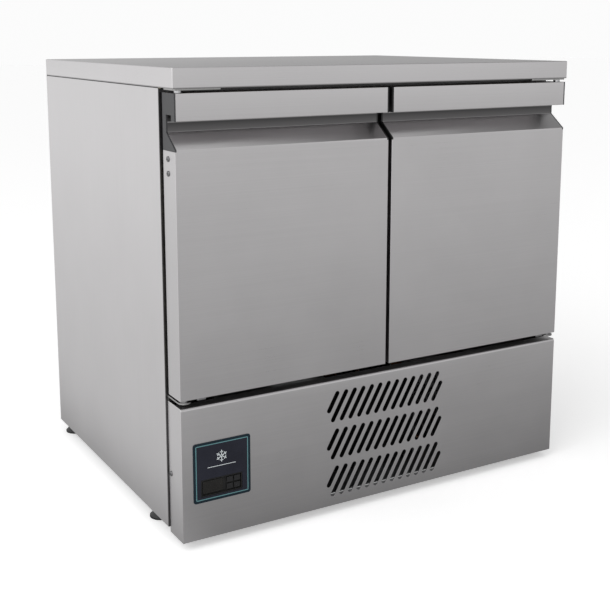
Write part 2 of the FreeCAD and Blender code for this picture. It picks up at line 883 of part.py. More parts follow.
def make_door(name, side):
    """One insulated door with its handle recess, gasket and hinge fittings."""
    whole = mirrored(side, "door_inner", "door_outer")
    between_caps = mirrored(side, "door_inner + end_cap_wall", "door_outer - end_cap_wall")
    inside = mirrored(side, "door_inner + door_sheet", "door_outer - door_sheet")
    centre = (pivot_x(side), "pivot_y")
    pan_front = "door_back - door_sheet"

    bushes, bush_holes = [], []
    for end, low in (("top", "door_top - bush_length"), ("bottom", "door_bottom")):
        blank = cylinder(f"{name}_{end}_bush_blank", "z", (*centre, low), "bush_radius", "bush_length")
        bore = cylinder(f"{name}_{end}_bush_bore", "z", (*centre, low), "bore_radius", "bush_length")
        bushes.append(cut(f"{name}_{end}_bush", blank, [bore]))
        bush_holes.append(blank)
    node(f"{name}_bushes", group(f"{name}_bush_pair", bushes))

    screws, shanks = [], []
    for index, height in enumerate(door_screw_heights(), start=1):
        depth = "door_front + door_screw_setback"
        screws.append(side_screw(f"{name}_screw{index}", side, "door_outer", depth, height))
        shanks.append(side_screw(f"{name}_pilot{index}", side, "door_outer", depth, height, head=False))
    node(f"{name}_screws", group(f"{name}_screw_pair", screws))

    skin = new_body(f"{name}_skin_blank")
    pad(skin, "yz", outline(door_profile("0", "door_back", "door_bottom")), *between_caps)
    pad(skin, "yz", rectangle(("door_front", "door_back"), ("door_bottom", "cap_bottom")), *whole)
    front = number("door_front")
    corners = either(
        along("z", x=[number("door_outer"), number("door_inner")], y=[front]),
        along("x", y=[front], z=[number("door_top"), number("lip_bottom"), number("door_bottom")]))
    round_edges(skin, "door_radius", corners)
    pocket(skin, "yz", outline(door_profile("door_sheet", "door_back", "door_bottom")), *between_caps)
    pocket(skin, "yz", rectangle(("door_front + door_sheet", "door_back"),
                                 ("door_bottom + door_sheet", "cap_bottom - door_sheet")), *inside)
    node(f"{name}_skin", cut(f"{name}_skin_cut", skin, bush_holes + shanks))

    caps, boss_blocks = [], []
    cap_profile = door_profile("0", "door_back", "cap_bottom")
    outer_cap = new_body(f"{name}_hinge_cap")
    pad(outer_cap, "yz", outline(cap_profile), *mirrored(side, "door_outer - end_cap_wall", "door_outer"))
    boss_outer = "door_outer - end_cap_wall"
    boss = box(f"{name}_boss", mirrored(side, f"{boss_outer} - boss_width", boss_outer),
               ("door_front + door_sheet + boss_margin",
                "door_front + door_sheet + boss_margin + boss_depth"),
               ("door_top - door_sheet - boss_height", "door_top - door_sheet"))
    boss_blocks.append(boss)
    caps.append(cut(f"{name}_hinge_cap_bored", fuse(f"{name}_hinge_cap_boss", [outer_cap, boss]),
                    [bush_holes[0]]))
    inner_cap = new_body(f"{name}_free_cap")
    pad(inner_cap, "yz", outline(cap_profile), *mirrored(side, "door_inner", "door_inner + end_cap_wall"))
    caps.append(inner_cap)
    node(f"{name}_end_caps", group(f"{name}_cap_pair", caps))

    foam = new_body(f"{name}_foam")
    pad(foam, "yz", outline(door_profile("door_sheet", pan_front, "door_bottom")), *between_caps)
    pad(foam, "yz", rectangle(("door_front + door_sheet", pan_front),
                              ("door_bottom + door_sheet", "cap_bottom - door_sheet")), *inside)
    node(f"{name}_insulation", cut(f"{name}_foam_cut", foam, boss_blocks + bush_holes + shanks))

    seal_span = mirrored(side, "door_inner + gasket_inset", "door_outer - gasket_hinge_inset")
    seal_rise = ("door_bottom + gasket_inset", "door_top - gasket_inset")

    def inside_seal(margin):
        (left, right), (low, high) = seal_span, seal_rise
        return ((f"{left} + ({margin})", f"{right} - ({margin})"),
                (f"{low} + ({margin})", f"{high} - ({margin})"))

    seal = new_body(f"{name}_seal")
    pad(seal, "xz", rectangle(seal_span, seal_rise), "door_back", "gasket_back")
    pocket(seal, "xz", rectangle(*inside_seal("gasket_width")), "door_back", "gasket_back")
    round_edges(seal, "plate_radius", along("y"))
    node(f"{name}_gasket", seal)

    plug_span, plug_rise = inside_seal("gasket_width + liner_plug_margin")
    node(f"{name}_liner", fuse(f"{name}_pan", [
        box(f"{name}_pan_sheet", between_caps, (pan_front, "door_back"),
            ("door_bottom + door_sheet", "door_top - door_sheet")),
        box(f"{name}_pan_plug", plug_span, ("door_back", "door_back + liner_plug"), plug_rise),
    ]))

    lug_outer = "door_outer - lug_start"
    lug = new_body(f"{name}_lug_plate")
    pad(lug, "xy", rectangle(mirrored(side, f"{lug_outer} - lug_width", lug_outer),
                             ("door_front + front_setback", "door_front + front_setback + lug_depth")),
        "door_bottom - lug_height", "door_bottom")
    round_edges(lug, "plate_radius", along("z"))
    node(f"{name}_closer_lug", lug)


# ---------------------------------------------------------------- front panel

def draw_slot(sketch, middle, half_run, half_rise):
    """Slanted slot with round ends, drawn about its own middle."""
    for place, formula in zip("xy", middle):
        sketch.setExpression(f"AttachmentOffset.Base.{place}", qualified(formula))
    first = sketch.GeometryCount
    up = FreeCAD.Vector(0, 0, 1)
    head = FreeCAD.Vector(12, 24, 0)
    lean = math.atan2(head.y, head.x) - math.pi / 2
    radius = 3.0
    side = FreeCAD.Vector(radius * math.cos(lean), radius * math.sin(lean), 0)
    sketch.addGeometry(Part.ArcOfCircle(
        Part.Circle(-head, up, radius), lean + math.pi, lean + 2 * math.pi))
    sketch.addGeometry(Part.ArcOfCircle(Part.Circle(head, up, radius), lean, lean + math.pi))
    sketch.addGeometry(Part.LineSegment(side - head, side + head))
    sketch.addGeometry(Part.LineSegment(head - side, -head - side))
    low_arc, high_arc, right_line, left_line = range(first, first + 4)
    for one, one_end, other, other_end in (
            (low_arc, 2, right_line, 1), (right_line, 2, high_arc, 1),
            (high_arc, 2, left_line, 1), (left_line, 2, low_arc, 1)):
        sketch.addConstraint(Sketcher.Constraint("Tangent", one, one_end, other, other_end))
    pin_point(sketch, low_arc, 3, f"-({half_run})", f"-({half_rise})")
    pin_point(sketch, high_arc, 3, half_run, half_rise)
    sketch.addConstraint(Sketcher.Constraint("Equal", low_arc, high_arc))
    index = sketch.addConstraint(Sketcher.Constraint("Radius", low_arc, radius))
    sketch.setExpression(f"Constraints[{index}]", qualified("slot_width / 2"))


def make_front_panel():
    """Tray-shaped lower panel with three rows of slanted ventilation slots."""
    body = new_body("front_panel_blank")
    depth = ("door_front", "panel_back")
    wall = "front_panel_sheet"
    pad(body, "xy", rectangle(plus_minus("door_outer"), depth), "panel_bottom", "panel_top")
    pocket(body, "yz", rectangle((f"door_front + {wall}", "panel_back"),
                                 (f"panel_bottom + {wall}", f"panel_top - {wall}")),
           *plus_minus("return_inside"))
    for low, high, flange in (
            ("panel_bottom", f"panel_bottom + {wall}", "front_panel_foot_flange"),
            (f"panel_top - {wall}", "panel_top", "front_panel_flange")):
        pocket(body, "xy", rectangle(plus_minus("return_inside"),
                                     (f"door_front + {flange}", "panel_back")), low, high)
    front = number("door_front")
    sheet = number(wall)
    round_edges(body, f"front_panel_radius - {wall}",
                along("x", y=[front + sheet], z=[number("panel_top") - sheet]))
    round_edges(body, "front_panel_radius", along("x", y=[front], z=[number("panel_top")]))
    round_edges(body, "edge_radius", either(
        along("x", y=[front], z=[number("panel_bottom")]),
        along("z", x=[number("door_outer")], y=[front])))

    through = ("door_front", f"door_front + {wall}")
    run = "slot_lean * (1 - slot_width / slot_rise) / 2"
    rise = "(slot_rise - slot_width) / 2"
    slot_places = (
        ("0", "0", "1"),
        ("-1", "1 - first_slot_share", "first_slot_share"),
        ("slot_count", "last_slot_share - 1", "last_slot_share"),
    )
    for row in range(int(number("row_count"))):
        row_middle = f"panel_top - row_top_drop - {row} * row_pitch - slot_rise / 2"
        for column, shift, share in slot_places:
            middle = (f"({column} - (slot_count - 1) / 2) * slot_pitch + ({shift}) * {run}",
                      f"{row_middle} + ({shift}) * {rise}")
            slot = pocket(
                body, "xz",
                lambda sketch: draw_slot(sketch, middle, f"({share}) * {run}", f"({share}) * {rise}"),
                *through)
            if column == "0":
                pattern(body, slot, "x", "slot_pitch", "slot_count")

    window = box("panel_window",
                 ("window_x - window_width / 2", "window_x + window_width / 2"),
                 through, ("window_low", "window_low + window_height"))
    tools = [window]
    for side_name, side in SIDES.items():
        tools.append(panel_screw_shank(f"{side_name}_panel_hole", side))
    node("front_panel", cut("front_panel_cut", body, tools))
    node("front_panel_screws", group("panel_screw_pair", [
        side_screw(f"{side_name}_panel_screw", side, "door_outer",
                   "panel_back - panel_screw_inset", "panel_screw_height")
        for side_name, side in SIDES.items()]))


# ---------------------------------------------------------------- controls

def make_controls():
    """Printed fascia, controller case, its lens and four keys."""
    window_span = ("window_x - window_width / 2", "window_x + window_width / 2")
    window_rise = ("window_low", "window_low + window_height")
    fascia = new_body("control_fascia")
    depth = ("door_front - fascia_sheet", "door_front")
    pad(fascia, "xz", rectangle(("fascia_x - fascia_width / 2", "fascia_x + fascia_width / 2"),
                                ("fascia_low", "fascia_top")), *depth)
    round_edges(fascia, "fascia_radius", along("y"))
    pocket(fascia, "xz", rectangle(window_span, window_rise), *depth)
    node("control_fascia", fascia)

    case = new_body("controller_case")
    half_height = "window_height / 2 - housing_clearance"

    def inset(margin):
        across = f"housing_half - {margin}"
        rise = f"{half_height} - {margin}"
        return rectangle((f"window_x - ({across})", f"window_x + ({across})"),
                         (f"window_middle - ({rise})", f"window_middle + ({rise})"))

    pad(case, "xz", inset("0"), "housing_front", "housing_front + housing_depth")
    pocket(case, "xz", inset("housing_rim"), "housing_front", "housing_floor")

    stem_holes = []
    for column, column_name in ((-1, "inner"), (1, "outer")):
        for row, row_name in ((-1, "lower"), (1, "upper")):
            name = f"{row_name}_{column_name}_key"
            x = f"keys_x + {column} * key_pitch_across / 2"
            z = f"window_middle + {row} * key_pitch_up / 2"
            stem_holes.append(cylinder(
                f"{name}_guide", "y", (x, "housing_floor", z),
                "key_stem_radius + key_stem_clearance", "key_stem_length + key_standoff"))
            cap = new_body(f"{name}_cap")
            pad(cap, "xz", rectangle((f"{x} - key_width / 2", f"{x} + key_width / 2"),
                                     (f"{z} - key_height / 2", f"{z} + key_height / 2")),
                "key_back - key_thickness", "key_back")
            round_edges(cap, "key_standoff", along("y"))
            stem = cylinder(f"{name}_stem", "y", (x, "key_back", z),
                            "key_stem_radius", "key_stem_length")
            node(name, fuse(f"{name}_moulding", [cap, stem]))
    node("controller_housing", cut("controller_case_cut", case, stem_holes))

    node("display_window", box(
        "lens", ("lens_left", "lens_left + lens_width"),
        ("housing_floor - lens_thickness", "housing_floor"),
        ("window_middle - lens_half_height", "window_middle + lens_half_height")))


# ---------------------------------------------------------------- fans and pipes

def blade_section(radius, chord, thickness, pitch, middle_y):
    """Closed rectangle across a blade at one radius, turned by its pitch."""
    points = []
    for along_chord, through in ((-1, -1), (1, -1), (1, 1), (-1, 1)):
        u = along_chord * chord / 2
        v = through * thickness / 2
        x = u * math.cos(pitch) - v * math.sin(pitch)
        y = u * math.sin(pitch) + v * math.cos(pitch)
        points.append(FreeCAD.Vector(x, middle_y + y, radius))
    return Part.makePolygon(points + points[:1])


def fan_shape(centre_x, centre_z, front, depth, radius, blade_count=5):
    """Hub, twisted blades and a shaft stub that points back."""
    hub_radius = number("fan_hub_radius")
    shaft_radius = number("fan_shaft_radius")
    thickness = 2.0
    start = FreeCAD.Vector(centre_x, front, centre_z)
    backwards = FreeCAD.Vector(0, 1, 0)
    shape = Part.makeCylinder(hub_radius, depth, start, backwards)
    root_pitch = math.radians(38)
    tip_pitch = math.radians(22)
    root_chord = 0.8 * depth / math.sin(root_pitch)
    tip_chord = 0.8 * depth / math.sin(tip_pitch)
    blade = Part.makeLoft([
        blade_section(0.8 * hub_radius, root_chord, thickness, root_pitch, front + depth / 2),
        blade_section(radius, tip_chord, thickness, tip_pitch, front + depth / 2),
    ], True)
    for index in range(blade_count):
        turned = blade.copy()
        turned.rotate(FreeCAD.Vector(), backwards, 360 * index / blade_count)
        turned.translate(FreeCAD.Vector(centre_x, 0, centre_z))
        shape = shape.fuse(turned)
    stub_length = number("motor_gap") + number("fan_shaft_length")
    stub = Part.makeCylinder(shaft_radius, stub_length,
                             start + backwards * depth, backwards)
    return shape.fuse(stub).removeSplitter()


def pipe_shape(points, radius, bend):
    """Round pipe along straight runs joined by tangent arcs."""
    edges = []
    start = points[0]
    for before, corner, after in zip(points, points[1:], points[2:]):
        incoming = (corner - before).normalize()
        outgoing = (after - corner).normalize()
        arc_start = corner - incoming * bend
        arc_end = corner + outgoing * bend
        centre = arc_start + outgoing * bend
        arc_middle = centre + (corner - centre).normalize() * bend
        edges.append(Part.LineSegment(start, arc_start).toShape())
        edges.append(Part.Arc(arc_start, arc_middle, arc_end).toShape())
        start = arc_end
    edges.append(Part.LineSegment(start, points[-1]).toShape())
    path = Part.Wire(edges)
    ring = Part.Wire(Part.makeCircle(radius, points[0], points[1] - points[0]))
    return path.makePipeShell([ring], True, False)


def make_condenser():
    """Finned coil, its return bends, the fan shroud, motor and fan."""
    core = new_body("condenser_core")
    pad(core, "xy", rectangle(plus_minus("coil_half"), ("coil_front", "coil_back")),
        "coil_low", "coil_top")
    first = "fin_pitch / 2 - coil_half"
    gap = pocket(core, "xy",
                 rectangle((f"{first} - fin_gap / 2", f"{first} + fin_gap / 2"),
                           ("coil_front", "coil_back - fin_spine")),
                 "coil_low", "coil_top")
    pattern(core, gap, "x", "fin_pitch", "floor(coil_width / fin_pitch)")
    node("condenser_core", core)
    node("condenser_tube", shaped("condenser_bends", return_bends(
        number("coil_half"), number("pipe_y"), number("coil_low"), number("coil_top"))))

    ring = cylinder("shroud_ring", "y", ("0", "coil_back", "coil_middle"),
                    "fan_radius + fan_clearance + shroud_sheet", "shroud_depth")
    plate = box("shroud_plate", plus_minus("coil_half"),
                ("coil_back", "coil_back + shroud_sheet"), ("coil_low", "coil_top"))
    foot = box("shroud_foot", plus_minus("coil_half"),
               ("coil_back", "shroud_back"), ("tray_top", "tray_top + shroud_sheet"))
    skirt = box("shroud_skirt", plus_minus("coil_half"),
                ("coil_back", "coil_back + shroud_sheet"), ("tray_top", "coil_low"))
    throat = cylinder("shroud_throat", "y", ("0", "coil_back", "coil_middle"),
                      "fan_radius + fan_clearance", "shroud_depth")
    node("condenser_shroud", cut("shroud", fuse("shroud_blank", [ring, plate, foot, skirt]), [throat]))

    node("condenser_fan_motor", motor(
        "condenser_motor", "coil_middle", "motor_front", "motor_radius", "motor_length",
        "fan_radius + fan_clearance", "shroud_back"))
    node("condenser_fan", shaped("condenser_rotor", fan_shape(
        0, number("coil_middle"), number("fan_front"), number("fan_depth"), number("fan_radius"))))


def return_bends(half, depth, low, high):
    """Half-round bends that join the coil's tubes at both ends."""
    bend = number("bend_radius")
    radius = number("pipe_radius")
    pitch = 2 * bend
    count = int((high - low - pitch) / (2 * pitch))
    solids = []
    for side in SIDES.values():
        shift = 0.5 if side > 0 else 1.5
        for index in range(count):
            centre_z = low + pitch * (2 * index + shift) + bend / 2
            face = FreeCAD.Vector(side * half, depth, centre_z)
            middle = face + FreeCAD.Vector(side * bend, 0, 0)
            below = face - FreeCAD.Vector(0, 0, bend)
            above = face + FreeCAD.Vector(0, 0, bend)
            path = Part.Wire(Part.Arc(below, middle, above).toShape())
            ring = Part.Wire(Part.makeCircle(radius, below, FreeCAD.Vector(side, 0, 0)))
            solids.append(path.makePipeShell([ring], True, False))
    return Part.makeCompound(solids)


def motor(name, middle, front, radius, length, reach, rear_of_shroud):
    """Round motor with a bearing bore and two arms that carry it."""
    can = cylinder(f"{name}_can", "y", ("0", front, middle), radius, length)
    arm = box(f"{name}_arm", plus_minus(f"{reach} + motor_arm / 2"),
              (f"max({front}; {rear_of_shroud})", f"max({front}; {rear_of_shroud}) + motor_gap"),
              (f"{middle} - motor_arm / 2", f"{middle} + motor_arm / 2"))
    bore = cylinder(f"{name}_bore", "y", ("0", front, middle),
                    "fan_shaft_radius + pin_clearance", "fan_shaft_length + motor_gap")
    return cut(f"{name}_bored", fuse(f"{name}_blank", [can, arm]), [bore])


def make_compressor():
    """Hermetic shell on a sprung plate, with its terminal box."""
    centre = ("compressor_x", "compressor_y")
    shell = new_body("compressor_shell")
    sketch = sketch_on(shell, "xz", "0")
    seam = "compressor_height / 2"
    draw_outline(sketch, [
        ("0", "0"),
        ("compressor_radius - compressor_dome", "0"),
        ("compressor_radius", "compressor_dome / 2"),
        ("compressor_radius", f"{seam} - compressor_seam"),
        ("compressor_radius + compressor_seam", f"{seam} - compressor_seam"),
        ("compressor_radius + compressor_seam", seam),
        ("compressor_radius", seam),
        ("compressor_radius", "compressor_height - compressor_dome"),
        ("compressor_radius - compressor_dome", "compressor_height"),
        ("0", "compressor_height"),
    ])
    turned = shell.newObject("PartDesign::Revolution", "compressor_turned")
    turned.Profile = sketch
    turned.ReferenceAxis = (sketch, ["V_Axis"])
    turned.Angle = 360
    shell.Tip = turned
    for place, formula in zip("xyz", (*centre, "shell_low")):
        shell.setExpression(f"Placement.Base.{place}", qualified(formula))
    half_width = "compressor_plate_width / 2"
    half_depth = "compressor_plate_depth / 2"
    pieces = [
        shell,
        box("compressor_base", (f"compressor_x - {half_width}", f"compressor_x + {half_width}"),
            (f"compressor_y - {half_depth}", f"compressor_y + {half_depth}"),
            ("plate_low", "shell_low")),
        box("compressor_terminals",
            ("compressor_x - terminal_box / 2", "compressor_x + terminal_box / 2"),
            ("compressor_y - compressor_radius - terminal_box / 2", "compressor_y"),
            ("shell_low + compressor_dome / 2", "shell_low + compressor_dome / 2 + terminal_box")),
    ]
    for side in SIDES.values():
        for end in SIDES.values():
            pieces.append(cylinder(
                f"grommet_{side}_{end}".replace("-", "n"), "z",
                (f"compressor_x + {side} * ({half_width} - grommet_radius)",
                 f"compressor_y + {end} * ({half_depth} - grommet_radius)", "tray_top"),
                "grommet_radius", "grommet_height"))
    node("compressor", fuse("compressor_fused", pieces))


def make_pipework():
    """Discharge, liquid and suction pipes, and the filter drier."""
    def at(x, y, z):
        return FreeCAD.Vector(x, y, z)

    centre_x = number("compressor_x")
    centre_y = number("compressor_y")
    radius = number("compressor_radius")
    coil_end = number("coil_half")
    coil_y = number("pipe_y")
    ceiling = number("box_bottom")
    high = number("coil_top") - number("bend_radius")
    low = number("tray_top") + number("coil_foot") + number("bend_radius")
    discharge_x = number("pipe_x") - 2 * number("bend_radius")
    liquid_x = number("pipe_x")
    level = number("shell_low") + number("compressor_dome")
    drier_start = number("drier_y") - number("drier_length") / 2
    drier_end = number("drier_y") + number("drier_length") / 2
    riser_y = drier_end + number("pipe_rise")
    suction_x = centre_x + radius + number("pipe_side_gap") - number("bend_radius")
    routes = {
        "discharge": [at(centre_x - radius, centre_y, level), at(discharge_x, centre_y, level),
                      at(discharge_x, centre_y, high), at(discharge_x, coil_y, high),
                      at(coil_end, coil_y, high)],
        "liquid": [at(coil_end, coil_y, low), at(liquid_x, coil_y, low), at(liquid_x, drier_start, low)],
        "riser": [at(liquid_x, drier_end, low), at(liquid_x, riser_y, low), at(liquid_x, riser_y, ceiling)],
        "suction": [at(centre_x + radius, centre_y, level), at(suction_x, centre_y, level),
                    at(suction_x, centre_y, ceiling)],
    }
    pipes = [pipe_shape(route, number("pipe_radius"), number("bend_radius")) for route in routes.values()]
    node("refrigerant_lines", shaped("pipe_runs", Part.makeCompound(pipes)))
    drier = cylinder("drier", "y",
                     ("pipe_x", "drier_y - drier_length / 2", "tray_top + coil_foot + bend_radius"),
                     "drier_radius", "drier_length")
    node("filter_drier", drier)


def make_condensate_tray():
    """Open tray that catches and evaporates melt water."""
    body = new_body("condensate_tray")
    across = ("tray_x - tray_width / 2", "tray_x + tray_width / 2")
    depth = ("tray_y - tray_depth / 2", "tray_y + tray_depth / 2")
    pad(body, "xy", rectangle(across, depth), "tray_top", "tray_top + tray_height")
    round_edges(body, "fascia_radius", along("z"))
    inner = [(f"{low} + tray_sheet", f"{high} - tray_sheet") for low, high in (across, depth)]
    pocket(body, "xy", rectangle(*inner), "tray_top + tray_sheet", "tray_top + tray_height")
    node("condensate_tray", body)


# ---------------------------------------------------------------- evaporator

def make_evaporator():
    """Coil on the rear wall, with its fan behind a slotted cover."""
    low = "cover_middle - evaporator_height / 2"
    high = "cover_middle + evaporator_height / 2"
    half = "evaporator_width / 2"
    core = new_body("evaporator_core")
    pad(core, "xy", rectangle(plus_minus(half), ("evaporator_front", "cavity_back")), low, high)
    first = f"fin_pitch / 2 - {half}"
    gap = pocket(core, "xy",
                 rectangle((f"{first} - fin_gap / 2", f"{first} + fin_gap / 2"),
                           ("evaporator_front + fin_spine", "cavity_back")), low, high)
    pattern(core, gap, "x", "fin_pitch", "floor(evaporator_width / fin_pitch)")
    node("evaporator_core", core)

    cover = new_body("evaporator_shell")
    pad(cover, "xz", rectangle(plus_minus("cover_half"), ("cover_low", "cavity_top")),
        "cover_front", "cavity_back")
    round_edges(cover, "plate_radius", along("z", y=[number("cover_front")]))
    pocket(cover, "xz",
           rectangle(plus_minus("cover_half - cover_sheet"), ("cover_low + cover_sheet", "cavity_top")),
           "cover_front + cover_sheet", "cavity_back")
    rings = []
    opening = number("evaporator_fan_radius") + number("fan_clearance")
    slot = number("cover_slot")
    bar_count = int(opening / (2 * slot))
    for index in range(-bar_count, bar_count + 1):
        level = index * 2 * slot
        reach = math.sqrt(max(opening * opening - level * level, 0)) - slot
        if reach > slot:
            rings.append(box(f"guard_slot_{index}".replace("-", "n"), plus_minus(reach),
                             ("cover_front", "cover_front + cover_sheet"),
                             (f"cover_middle + ({level}) - cover_slot / 2",
                              f"cover_middle + ({level}) + cover_slot / 2")))
    intake = box("cover_intake", plus_minus("cover_half - cover_slot * 4"),
                 ("cover_front + cover_slot * 4", "evaporator_front"),
                 ("cover_low", "cover_low + cover_sheet"))
    node("evaporator_cover", cut("cover_cut", cover, rings + [intake]))

    node("evaporator_fan_motor", motor(
        "evaporator_motor", "cover_middle", "evaporator_motor_front", "evaporator_motor_radius",
        "evaporator_motor_length", "evaporator_fan_radius", "evaporator_motor_front"))
    node("evaporator_fan", shaped("evaporator_rotor", fan_shape(
        0, number("cover_middle"), number("evaporator_fan_front"),
        number("evaporator_fan_depth"), number("evaporator_fan_radius"))))


# ---------------------------------------------------------------- shelves

def make_shelf_rails():
    """Angle rails on both side walls and a centre rail behind the mullion."""
    depth = ("shelf_front", "shelf_back")
    pieces = []
    for side_name, side in SIDES.items():
        pieces.append(fuse(f"{side_name}_rail", [
            box(f"{side_name}_rail_wall", mirrored(side, "cavity_half - rail_sheet", "cavity_half"),
                depth, ("rail_top - rail_height", "rail_top")),
            box(f"{side_name}_rail_ledge", mirrored(side, "cavity_half - rail_width", "cavity_half"),
                depth, ("rail_top - rail_sheet", "rail_top")),
        ]))
    pieces.append(fuse("centre_rail", [
        box("centre_rail_web", plus_minus("rail_sheet / 2"),
            ("mullion_back", "cavity_back"), ("rail_top - rail_height", "rail_top")),
        box("centre_rail_ledge", plus_minus("rail_width"),
            depth, ("rail_top - rail_sheet", "rail_top")),
    ]))
    node("shelf_rails", group("rails", pieces))


def round_cornered_path(x_span, y_span, level, radius):
    """Closed rectangle with rounded corners in a level plane."""
    low, high = x_span
    front, back = y_span
    corners = ((low, front, -1, -1), (high, front, 1, -1), (high, back, 1, 1), (low, back, -1, 1))
    reach = radius * (1 - math.cos(math.radians(45)))
    arcs = []
    for x, y, right, rear in corners:
        beside = FreeCAD.Vector(x, y - rear * radius, level)
        ahead = FreeCAD.Vector(x - right * radius, y, level)
        middle = FreeCAD.Vector(x - right * reach, y - rear * reach, level)
        start, end = (beside, ahead) if right == rear else (ahead, beside)
        arcs.append((start, middle, end))
    edges = []
    for (start, middle, end), (next_start, _, _) in zip(arcs, arcs[1:] + arcs[:1]):
        edges.append(Part.Arc(start, middle, end).toShape())
        edges.append(Part.LineSegment(end, next_start).toShape())
    return Part.Wire(edges)


def shelf_shape(side):
    """Wire shelf: a round frame, cross bars and a row of fine wires on top."""
    frame = number("shelf_frame_wire")
    wire_end = number("shelf_wire_end")
    near = number("shelf_side_gap") + frame
    far = number("cavity_half") - number("shelf_side_gap") - frame
    front = number("shelf_front") + frame
    back = number("shelf_back") - frame
    level = number("shelf_z")
    ahead = FreeCAD.Vector(0, 1, 0)
    across = FreeCAD.Vector(1, 0, 0)
    low = min(side * near, side * far)
    width = far - near
    path = round_cornered_path((low, low + width), (front, back), level, number("shelf_corner"))
    start = path.Edges[0].Vertexes[0].Point
    ring = Part.Wire(Part.makeCircle(frame, start, path.Edges[0].tangentAt(path.Edges[0].FirstParameter)))
    solids = [path.makePipeShell([ring], True, False)]
    bar_count = int(number("shelf_bars"))
    for index in range(1, bar_count + 1):
        y = front + (back - front) * index / (bar_count + 1)
        solids.append(Part.makeCylinder(number("shelf_bar_wire"), width,
                                        FreeCAD.Vector(low, y, level), across))
    wire_count = int(width / number("shelf_wire_pitch"))
    pitch = width / wire_count
    top = level + frame - number("shelf_wire_sink")
    for index in range(1, wire_count):
        start = FreeCAD.Vector(low + index * pitch, front + wire_end, top)
        solids.append(Part.makeCylinder(number("shelf_wire"), back - front - 2 * wire_end, start, ahead))
    return solids[0].multiFuse(solids[1:])


def make_shelves():
    for side_name, side in SIDES.items():
        node(f"{side_name}_shelf", shaped(f"{side_name}_wire_shelf", shelf_shape(side)))


# ---------------------------------------------------------------- supply inlet

def make_mains_inlet():
    """Recessed appliance inlet with three contact blades."""
    body = new_body("inlet_case")
    across = ("-inlet_across - inlet_width / 2", "-inlet_across + inlet_width / 2")
    rise = ("inlet_foot", "inlet_foot + inlet_height")
    pad(body, "xz", rectangle(across, rise), "back - inlet_depth", "back")
    inner = [(f"{low} + inlet_wall", f"{high} - inlet_wall") for low, high in (across, rise)]
    pocket(body, "xz", rectangle(*inner), "back - inlet_depth + inlet_floor", "back")
    pieces = [body]
    for index in (-1, 0, 1):
        x = f"-inlet_across + {index} * inlet_pin_pitch"
        z = "inlet_foot + inlet_height / 2"
        pieces.append(box(f"contact_{index + 1}",
                          (f"{x} - inlet_pin_width / 2", f"{x} + inlet_pin_width / 2"),
                          ("back - inlet_depth + inlet_floor", "back - inlet_floor"),
                          (f"{z} - inlet_pin_height / 2", f"{z} + inlet_pin_height / 2")))
    node("mains_inlet", fuse("inlet", pieces))


# ---------------------------------------------------------------- assembly

def check_document():
    """Stop before export if any object failed or any sub-part is unsound."""
    for item in document.Objects:
        if "Invalid" in item.State or "Error" in item.State:
            raise RuntimeError(f"{item.Label} failed to compute: {item.State}")
    for name, piece in nodes.items():
        shape = piece.Shape
        if shape.isNull() or not shape.isValid() or not shape.Solids:
            raise RuntimeError(f"{name} has no valid solid")


def export_nodes():
    os.makedirs(OUTPUT_FOLDER, exist_ok=True)
    for name, piece in nodes.items():
        piece.Shape.exportStep(os.path.join(OUTPUT_FOLDER, name + ".step"))


make_worktop()
for side_name, side in SIDES.items():
    make_side_panel(f"{side_name}_side_panel", side)
make_back_panel()
make_insulated_box()
make_mullion()
make_base_tray()
make_feet()
make_hinges()
for side_name, side in SIDES.items():
    make_door(f"{side_name}_door", side)
make_front_panel()
make_controls()
make_condenser()
make_compressor()
make_pipework()
make_condensate_tray()
make_evaporator()
make_shelf_rails()
make_shelves()
make_mains_inlet()
document.recompute()
check_document()
export_nodes()
print(f"{len(nodes)} sub-parts written")
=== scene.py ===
"""Two-door undercounter refrigerator: pieces, finishes, light and camera, in metres."""

import json
import math

import bmesh
import bpy
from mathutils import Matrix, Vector


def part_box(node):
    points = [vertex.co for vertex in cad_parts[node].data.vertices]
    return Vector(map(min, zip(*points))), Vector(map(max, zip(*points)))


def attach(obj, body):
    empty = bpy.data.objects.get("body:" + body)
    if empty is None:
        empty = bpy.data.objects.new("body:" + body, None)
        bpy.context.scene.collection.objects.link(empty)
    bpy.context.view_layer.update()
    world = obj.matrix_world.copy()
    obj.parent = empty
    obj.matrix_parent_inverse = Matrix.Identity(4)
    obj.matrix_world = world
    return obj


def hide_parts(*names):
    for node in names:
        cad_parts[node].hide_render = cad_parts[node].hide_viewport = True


MM = 0.001
SHARP = math.radians(32)

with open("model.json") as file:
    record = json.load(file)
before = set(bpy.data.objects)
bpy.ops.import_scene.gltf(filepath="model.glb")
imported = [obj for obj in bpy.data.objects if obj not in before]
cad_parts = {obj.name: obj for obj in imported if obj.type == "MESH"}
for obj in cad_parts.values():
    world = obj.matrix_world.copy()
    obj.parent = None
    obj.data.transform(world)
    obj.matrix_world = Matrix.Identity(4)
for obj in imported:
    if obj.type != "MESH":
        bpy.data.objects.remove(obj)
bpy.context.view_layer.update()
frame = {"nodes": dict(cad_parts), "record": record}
cad_nodes = frame["nodes"]
body_of_node = {
    node: body
    for body, members in frame["record"]["behaviour"]["bodies"].items()
    for node in members
}
SIDES = {"left": -1, "right": 1}


# ---------------------------------------------------------------- finishes

